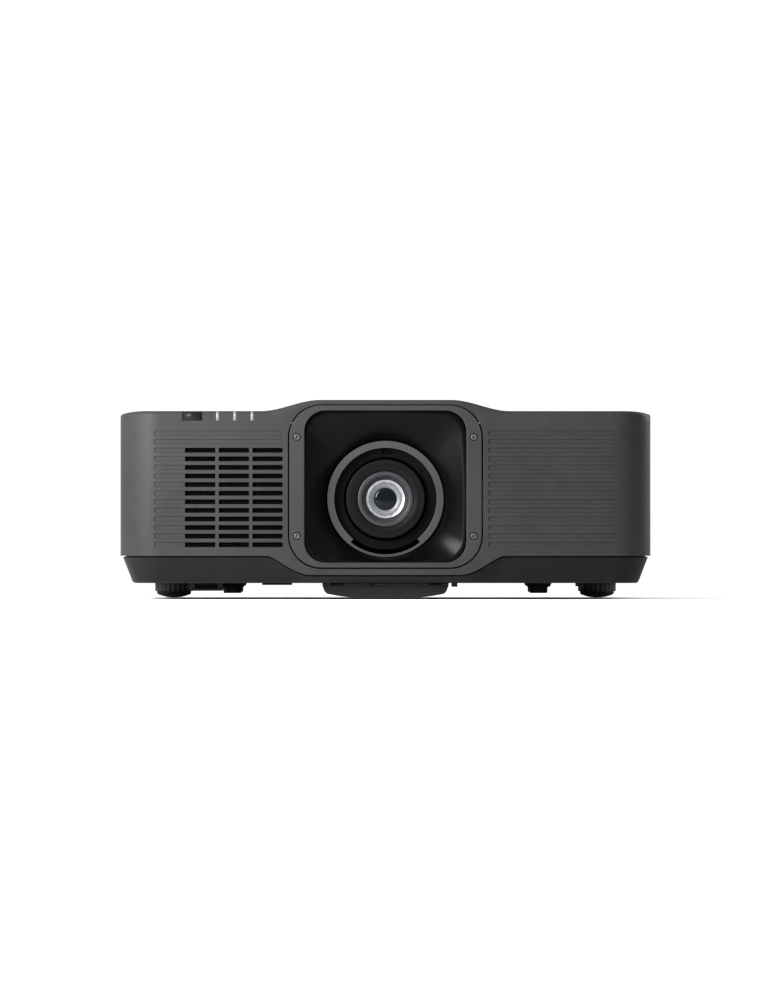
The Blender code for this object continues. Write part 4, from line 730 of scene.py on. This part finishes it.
OPENING_HALF = high("lens_bezel").x - 0.0152
OPENING_LOW = 0.0368
OPENING_HIGH = 0.1885
SCREW_SEAT = 0.0043         # radius of the sunk seat of each bezel screw
FUNNEL_RINGS = 9
FUNNEL_FLARE = 1.6          # how early the hood turns from the window's shape to the circle
COLLAR_INNER = 0.0511
COLLAR_RELIEF = 0.0553
RELIEF_SPREAD = 39          # degrees to each side of straight down
THIN_WALL = 0.0004
COVER_WALL = 0.0008
INLAY_WALL = 0.0010
FUNNEL_WALL = 0.0015


def lens_bezel():
    """Raised-edge frame with four sunk screw seats."""
    bm = bmesh.new()
    box_low, box_high = low("lens_bezel"), high("lens_bezel")
    edge, lip = 0.0005, 0.0010
    outer = rounded_box(box_low.x + edge, box_high.x - edge, box_low.z + edge, box_high.z - edge,
                        BEZEL_CORNER - edge, 16)
    inner = rounded_box(-OPENING_HALF - lip, OPENING_HALF + lip, OPENING_LOW - lip, OPENING_HIGH + lip,
                        OPENING_CORNER + lip, 14)
    rings = [ring_of_edges(bm, outer), ring_of_edges(bm, inner)]
    seats = [ring_of_edges(bm, arc(SCREW_SEAT, 0, 360, 40, (x, z))[:-1]) for x, z in screw_places()]
    fill_sheet(bm, rings + seats)
    rounded_rim(bm, rings[0], edge * 1000, 3.8)
    rounded_rim(bm, rings[1], lip * 1000, 3.8, 4)
    for seat in seats:
        bmesh.ops.contextual_create(bm, geom=rounded_rim(bm, seat, 0.25, 1.9, 2))
    lay_flat(bm, FRONT)
    obj = finish_piece("lens_bezel_frame", bm, BEZEL_GREY, 32)
    add_wall(obj, THIN_WALL)
    install(obj, "housing", "case_plastic", "lens_bezel")


def screw_places():
    """Middles of the four bezel screws."""
    return [((low(name).x + high(name).x) / 2, (low(name).z + high(name).z) / 2)
            for name in ("bezel_screw_1", "bezel_screw_2", "bezel_screw_3", "bezel_screw_4")]


def lathe(points, centre, steps=72, upright=False):
    """Body turned about an axis along Y, or along Z; points are (radius, depth) in millimetres."""
    bm = bmesh.new()
    verts = [bm.verts.new((radius * MM, depth * MM, 0)) for radius, depth in points]
    edges = [bm.edges.new(pair) for pair in zip(verts, verts[1:])]
    bmesh.ops.spin(bm, geom=verts + edges, cent=(0, 0, 0), axis=(0, 1, 0), dvec=(0, 0, 0),
                   angle=math.tau, steps=steps, use_merge=True)
    bmesh.ops.remove_doubles(bm, verts=bm.verts, dist=0.000001)
    bmesh.ops.recalc_face_normals(bm, faces=bm.faces)
    if upright:
        bmesh.ops.rotate(bm, cent=(0, 0, 0), matrix=Matrix.Rotation(math.pi / 2, 3, "X"), verts=bm.verts)
    bmesh.ops.translate(bm, vec=centre, verts=bm.verts)
    return bm


def bezel_screws():
    """Domed cap screws with a socket."""
    profile = [(0, 1.5), (1.2, 1.4), (1.3, 0.25), (1.55, 0.05), (2.3, 0.0), (3.0, 0.30), (3.4, 0.85),
               (3.5, 1.7), (1.6, 1.7), (1.6, 5.5), (0, 5.5)]
    for number, (x, z) in enumerate(screw_places(), 1):
        bm = lathe(profile, (x, FRONT, z), 36)
        obj = finish_piece(f"bezel_screw_{number}_turned", bm, SCREW_METAL, 40)
        install(obj, "housing", "black_metal", f"bezel_screw_{number}")


def dense(points, spacing):
    """Adds points along the straight stretches of a closed outline."""
    result = []
    for start, end in zip(points, points[1:] + points[:1]):
        parts = max(1, math.ceil(math.dist(start, end) / spacing))
        result += [(start[0] + (end[0] - start[0]) * part / parts,
                    start[1] + (end[1] - start[1]) * part / parts) for part in range(parts)]
    return result


def lens_funnel():
    """Glossy hood that narrows from the bezel's window to the round collar."""
    bm = bmesh.new()
    front, rear = low("lens_funnel").y, high("lens_funnel").y
    window = dense(rounded_box(-OPENING_HALF, OPENING_HALF, OPENING_LOW, OPENING_HIGH, OPENING_CORNER, 12),
                   0.005)
    loops = []
    for ring in range(FUNNEL_RINGS + 1):
        share = ring / FUNNEL_RINGS
        blend = 1 - (1 - share) ** FUNNEL_FLARE
        verts = []
        for x, z in window:
            turn = math.atan2(z - LENS.z, x)
            round_x = COLLAR_OUTER * math.cos(turn)
            round_z = LENS.z + COLLAR_OUTER * math.sin(turn)
            verts.append(bm.verts.new((x + (round_x - x) * blend, front + (rear - front) * share,
                                       z + (round_z - z) * blend)))
        loops.append([bm.edges.new((verts[i - 1], verts[i])) for i in range(len(verts))])
    for outer, inner in zip(loops, loops[1:]):
        bmesh.ops.bridge_loops(bm, edges=outer + inner)
    middle = Vector((0, front, LENS.z))
    for face in bm.faces:
        face.normal_update()
        if face.normal.dot(face.calc_center_median() - middle) > 0:
            face.normal_flip()
    obj = finish_piece("lens_funnel_shell", bm, GLOSS, 60)
    add_wall(obj, FUNNEL_WALL)
    install(obj, "housing", "gloss_black", "lens_funnel")


def lens_collar():
    """Ring round the lens with a relief cut into its lower inside edge."""
    bm = bmesh.new()
    edge = 0.0004
    middle = (0, LENS.z)
    outline = arc(COLLAR_INNER + edge, RELIEF_SPREAD - 90, 360 - 2 * RELIEF_SPREAD, 80, middle)
    outline += arc(COLLAR_RELIEF + edge, 270 - RELIEF_SPREAD, 2 * RELIEF_SPREAD, 24, middle)
    rings = [ring_of_edges(bm, arc(COLLAR_OUTER - edge, 0, 360, 120, middle)[:-1]),
             ring_of_edges(bm, outline)]
    fill_sheet(bm, rings)
    for ring in rings:
        rounded_rim(bm, ring, edge * 1000, 5.5, 3)
    lay_flat(bm, low("lens_collar").y)
    obj = finish_piece("lens_collar_ring", bm, COLLAR_GREY, 32)
    add_wall(obj, THIN_WALL)
    install(obj, "housing", "case_plastic", "lens_collar")


def lens_rings():
    """Barrel, trim ring, bright cone and front element, turned about the lens axis."""
    face = Vector((LENS.x, low("lens_barrel").y, LENS.z))
    rear = (high("lens_barrel").y - face.y) * 1000
    step = (high("horizontal_carriage").y - face.y) * 1000
    barrel = [(28.2, rear), (28.2, 0.5), (28.6, 0.1), (33.6, 0.0), (33.8, 0.3), (34.2, 0.3), (34.4, 0.0),
              (38.5, 0.0), (39.2, 0.3), (39.5, 1.0), (39.5, step), (34.0, step), (34.0, rear), (28.2, rear)]
    trim = [(27.7, 30.0), (27.7, 1.5), (27.5, 0.8), (27.0, 0.6), (24.4, 0.5), (23.6, 0.8), (23.2, 1.5),
            (23.0, 2.0), (22.6, 2.2), (19.9, 6.4), (19.9, 14.0), (18.6, 14.0), (18.6, 30.0), (27.7, 30.0)]
    bright = [(19.5, 13.3), (19.5, 6.8), (19.2, 6.5), (16.2, 9.0), (16.0, 9.4), (16.0, 13.3), (19.5, 13.3)]
    band = [(15.8, 13.3), (15.8, 9.4), (15.5, 9.3), (11.4, 10.4), (11.2, 10.8), (11.2, 13.3), (15.8, 13.3)]
    glass = [(0, 15.0), (10.9, 15.0)]
    glass += [(10.9 * math.cos(turn), 11.5 - 2.0 * math.sin(turn))
              for turn in (math.radians(90 * step / 12) for step in range(13))]
    glass[-1] = (0, 9.5)
    for name, profile, material, body, slot, nodes in (
            ("lens_barrel_turned", barrel, BARREL_BLACK, "horizontal_carriage", "black_metal", ["lens_barrel"]),
            ("trim_ring_turned", trim, RING_GREY, "focus_group", "black_metal", ["focus_barrel"]),
            ("bright_cone", bright, SILVER, "focus_group", "bright_aluminium", ["silver_ring"]),
            ("pupil_band", band, BAND_GREY, "focus_group", "bright_aluminium", []),
            ("front_element_ground", glass, GLASS, "focus_group", "lens_glass", ["front_lens_element"])):
        obj = finish_piece(name, lathe(profile, face, 128), material, 50)
        install(obj, body, slot, *nodes)


# ---------------------------------------------------------------- lower case and feet
TUB_INSET = 0.0027
TUB_SPREAD = 0.0098         # how much further in the tub's foot lies than its top
TUB_BOTTOM = 0.0163
TUB_EDGE = 0.0020
BOSS_END = low("bottom_case").z
BOSS_PLACES = [tuple(mount["pos_m"][:2]) for mount in frame["record"]["mounts"] if "boss" in mount["name"]]


def tub_skin(along, up, out):
    """The tub's sloping side; it starts just inside the band wherever the seam runs."""
    x, y, nx, ny = outline_point(along)
    top = (seam_height(x) if ny < -0.999 else CASE_SEAM) - 0.001
    share = min(max((top - up) / (top - TUB_BOTTOM), 0.0), 1.0)
    inset = TUB_INSET + TUB_SPREAD * share - out
    return Vector((x - nx * inset, y - ny * inset, up))


def shift_border(bm, edges, out, up):
    """Extrudes a border of the unrolled sheet by an amount outwards and upwards, in millimetres."""
    made = bmesh.ops.extrude_edge_only(bm, edges=edges)["geom"]
    fresh = {item for item in made if isinstance(item, bmesh.types.BMVert)}
    for vert in fresh:
        vert.co.y += up
        vert.co.z += out
    return [item for item in made if isinstance(item, bmesh.types.BMEdge) and fresh.issuperset(item.verts)]


def tub():
    """Lower case: sloping sides under a lip and a dark groove, and a flat bottom."""
    bm = bmesh.new()
    foot = TUB_BOTTOM + TUB_EDGE
    outline = [(-REAR_MIDDLE, foot), (REAR_MIDDLE, foot), (REAR_MIDDLE, CASE_SEAM - 0.001)]
    outline += [(x, seam_height(x) - 0.001) for x in reversed(skirt_places())]
    outline += [(-REAR_MIDDLE, CASE_SEAM - 0.001)]
    border = ring_of_edges(bm, outline)
    fill_sheet(bm, [border])
    lower = [edge for edge in border if all(abs(v.co.y - foot * 1000) < 0.001 for v in edge.verts)]
    ends = [edge for edge in border if abs(edge.verts[0].co.x - edge.verts[1].co.x) < 0.001]
    upper = [edge for edge in border if edge not in lower + ends]
    for out, up in ((-0.25, 0.5), (-0.8, 0.3), (-1.6, 0.0), (0.0, 4.0)):
        upper = shift_border(bm, upper, out, up)
    for out, up in ((-0.3, -0.8), (-0.6, -0.7), (-1.1, -0.5)):
        lower = shift_border(bm, lower, out, up)
    bend_sheet(bm, tub_skin)
    clean(bm)
    floor = [edge for edge in bm.edges if edge.is_boundary
             and all(abs(v.co.z - TUB_BOTTOM) < 0.0001 for v in edge.verts)]
    bmesh.ops.triangle_fill(bm, use_beauty=True, use_dissolve=False, edges=floor, normal=(0, 0, -1))
    for face in bm.faces:
        if abs(face.calc_center_median().z - TUB_BOTTOM) < 0.00005:
            face.normal_update()
            if face.normal.z > 0:
                face.normal_flip()
    obj = finish_piece("tub_shell", bm, TUB_BLACK_PAINTED_SHADE, 30)
    add_wall(obj, COVER_WALL)
    install(obj, "housing", "tub_plastic", "bottom_case")


def mount_bosses():
    """Four threaded bosses for a ceiling bracket, each on a stepped flange."""
    profile = [(0, 9.5), (2.6, 9.5), (2.6, 0.5), (3.1, 0), (8.5, 0), (9.0, 0.5), (9.2, 6.0),
               (11.2, 6.2), (11.6, 6.7), (13.6, 10.6), (0, 10.6)]
    for number, (x, y) in enumerate(BOSS_PLACES, 1):
        bm = lathe(profile, (x, y, BOSS_END), 48, True)
        bmesh.ops.recalc_face_normals(bm, faces=bm.faces)
        install(finish_piece(f"ceiling_boss_{number}", bm, TUB_BLACK_PAINTED_SHADE, 35), "housing", "tub_plastic")


def foot_pads():
    """Rubber soles under the two levelling screws."""
    profile = [(0, 0), (4.0, 0.15), (8.0, 0.6), (12.0, 1.5), (15.0, 2.5), (16.8, 3.4), (17.4, 4.1), (17.4, 6.3),
               (0, 6.3)]
    for side in ("left", "right"):
        node = f"{side}_foot_pad"
        centre = (low(node) + high(node)) / 2
        bm = lathe(profile, (centre.x, centre.y, low(node).z), 64, True)
        install(finish_piece(f"{side}_foot_sole", bm, RUBBER, 45), node, "rubber", node)


# ---------------------------------------------------------------- pieces that keep their solid's shape
SLOT_OF = {part["node"]: part["material_slot"] for part in frame["record"]["subparts"]}


def refined(node, material, width=0.0003, smooth=35):
    """A merged copy of a solid with its flat faces joined and its edges rounded."""
    bm = bmesh.new()
    bm.from_mesh(frame["nodes"][node].data)
    bmesh.ops.remove_doubles(bm, verts=bm.verts, dist=0.000002)
    bmesh.ops.dissolve_limit(bm, angle_limit=math.radians(0.5), verts=bm.verts, edges=bm.edges)
    obj = finish_piece(f"{node}_finished", bm, material, smooth)
    if width:
        add_bevel(obj, width)
    install(obj, frame["nodes"][node]["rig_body"], SLOT_OF[node], node)


def lid_strips(name, places, material, slot, node):
    """Inlays that follow the rounded front edge of the lid."""
    bm = bmesh.new()
    for left, right in places:
        fill_sheet(bm, [ring_of_edges(bm, rounded_box(left, right, CREASE + 0.0003, SHEET_TOP - 0.0004, 0))])
    bend_sheet(bm, wrap)
    clean(bm)
    for face in bm.faces:
        face.normal_update()
        if face.normal.y > 0:
            face.normal_flip()
    obj = finish_piece(name, bm, material, 30)
    add_wall(obj, INLAY_WALL)
    install(obj, "housing", slot, node)


def eased_blocks(name, blocks, material, body, slot, *nodes):
    """A few small moulded blocks with rounded edges, as one piece."""
    bm = bmesh.new()
    for corner, far in blocks:
        verts = bmesh.ops.create_cube(bm, size=1)["verts"]
        size = Vector(far) - Vector(corner)
        bmesh.ops.scale(bm, vec=size, verts=verts)
        bmesh.ops.translate(bm, vec=Vector(corner) + size / 2, verts=verts)
    bmesh.ops.bevel(bm, geom=bm.edges[:], offset=0.0005, segments=2, profile=0.5, affect="EDGES", material=-1)
    install(finish_piece(name, bm, material, 40), body, slot, *nodes)


def underside_details():
    """Stiffening blocks, lugs and the security bar's backing under the tub."""
    floor, buried = low("front_foot").z, TUB_BOTTOM + 0.0012
    top = floor + 0.0152
    eased_blocks("foot_surround", (
        ((-0.0438, -0.193, top), (0.0438, -0.168, buried)),
        ((-0.0480, -0.1955, top - 0.0004), (-0.0420, -0.1935, buried)),
        ((-0.0170, -0.1955, top - 0.0004), (-0.0110, -0.1935, buried)),
        ((0.190, -0.180, 0.0129), (0.196, -0.160, buried)),
        ((-0.1965, -0.1400, 0.0085), (-0.1625, -0.1370, buried)),
        ((0.0562, -0.1930, top), (0.0632, -0.1600, buried)),
        ((-0.0632, -0.1930, top), (-0.0562, -0.1600, buried)),
    ), TUB_BLACK_PAINTED_SHADE, "housing", "tub_plastic")


def remaining_pieces():
    """Every solid that no piece above stands for."""
    finishes = {
        "case_plastic": CHARCOAL, "tub_plastic": TUB_BLACK_PAINTED_SHADE, "gloss_black": WINDOW, "black_metal": BLACK_SHEET,
        "dark_plastic": DARK_PLASTIC, "steel": STEEL, "bright_aluminium": FIN_METAL, "lens_glass": GLASS,
        "light_guide": LIGHT_PIPE, "board": BOARD, "screen_mesh": FOAM, "rubber": RUBBER,
    }
    done = {node for obj in bpy.data.objects for node in obj.get("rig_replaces", [])}
    # The foot knobs take the lighter moulding with painted fill light.
    special = {"left_foot_knob": (KNOB_PLASTIC_PAINTED_FILL, 0.0003), "right_foot_knob": (KNOB_PLASTIC_PAINTED_FILL, 0.0003),
               "front_foot": (FOOT_PLASTIC, 0.0012), "horizontal_carriage": (BLACK_METAL, 0.0003)}
    for node in sorted(SLOT_OF):
        if node in done:
            continue
        material, width = special.get(node, (finishes[SLOT_OF[node]], 0.0003))
        if node.endswith("_key"):
            material = KEY_PLASTIC
        if node in ("security_bar", "foot_release_button"):
            material = BLACK_SHEET
        refined(node, material, width)


# ---------------------------------------------------------------- the pieces, in order
front_cover()
lens_bezel()
bezel_screws()
lens_funnel()
lens_collar()
lens_rings()
tub()
mount_bosses()
foot_pads()
underside_details()
lid_strips("receiver_window_inlay", [(low("remote_window").x, high("remote_window").x)], WINDOW, "gloss_black",
           "remote_window")
lid_strips("status_light_faces", [(light - STATUS_WIDTH / 2, light + STATUS_WIDTH / 2)
                                  for light in STATUS_LIGHTS], LIGHT_PIPE, "light_guide", "status_light_guide")
remaining_pieces()


# ---------------------------------------------------------------- studio
def studio():
    """Pale floor, white surroundings, soft lights and a long-lens camera level with the lens."""
    floor = bpy.data.meshes.new("floor")
    bm = bmesh.new()
    bmesh.ops.create_grid(bm, x_segments=1, y_segments=1, size=80)
    bmesh.ops.translate(bm, vec=(0, 0, low("front_foot").z - 0.0001), verts=bm.verts)
    bm.to_mesh(floor)
    bm.free()
    ground = bpy.data.objects.new("floor", floor)
    bpy.context.scene.collection.objects.link(ground)
    finish = Finish("pale_floor", (0.93, 0.93, 0.93), 0.8)
    cloud = finish.noise(0.6, 2.0)
    finish.send(finish.blend(cloud.band(0.3, 0.7), (0.955, 0.955, 0.955), (0.965, 0.965, 0.965)), "Base Color")
    floor.materials.append(finish.material)

    world = bpy.data.worlds.new("surroundings")
    world.use_nodes = True
    world.node_tree.nodes["Background"].inputs["Color"].default_value = (1.0, 1.0, 1.0, 1)
    world.node_tree.nodes["Background"].inputs["Strength"].default_value = WORLD_STRENGTH
    bpy.context.scene.world = world
    bpy.context.scene.view_settings.view_transform = "Standard"

    for name, place, target, size, power in LIGHTS:
        lamp = bpy.data.lights.new(name, "AREA")
        lamp.shape = "RECTANGLE"
        lamp.size, lamp.size_y = size
        lamp.energy = power
        obj = bpy.data.objects.new(name, lamp)
        bpy.context.scene.collection.objects.link(obj)
        obj.location = place
        obj.rotation_euler = (Vector(target) - Vector(place)).to_track_quat("-Z", "Y").to_euler()

    camera = bpy.data.cameras.new("camera")
    camera.sensor_width = 36
    camera.lens = camera.sensor_width * CAMERA_DISTANCE / VIEW_HEIGHT
    camera.clip_start = 0.1
    camera.clip_end = 400
    eye = bpy.data.objects.new("camera", camera)
    bpy.context.scene.collection.objects.link(eye)
    eye.location = (0, FRONT - CAMERA_DISTANCE, VIEW_MIDDLE)
    eye.rotation_euler = (math.radians(90), 0, 0)
    bpy.context.scene.camera = eye


WORLD_STRENGTH = 1.06
CAMERA_DISTANCE = 18.0
VIEW_HEIGHT = 0.9979        # height of the frame at the case's front
VIEW_MIDDLE = 0.0993
LIGHTS = (
    ("key", (-0.78, -0.95, 0.52), (-0.24, -0.2, 0.1), (0.5, 0.6), 52),
    ("top", (-0.3, -0.5, 1.8), (-0.1, -0.1, 0.15), (1.2, 0.8), 1.5),
    ("right_rim", (1.3, 0.9, 0.6), (0.25, 0, 0.1), (0.5, 0.8), 8),
)
studio()
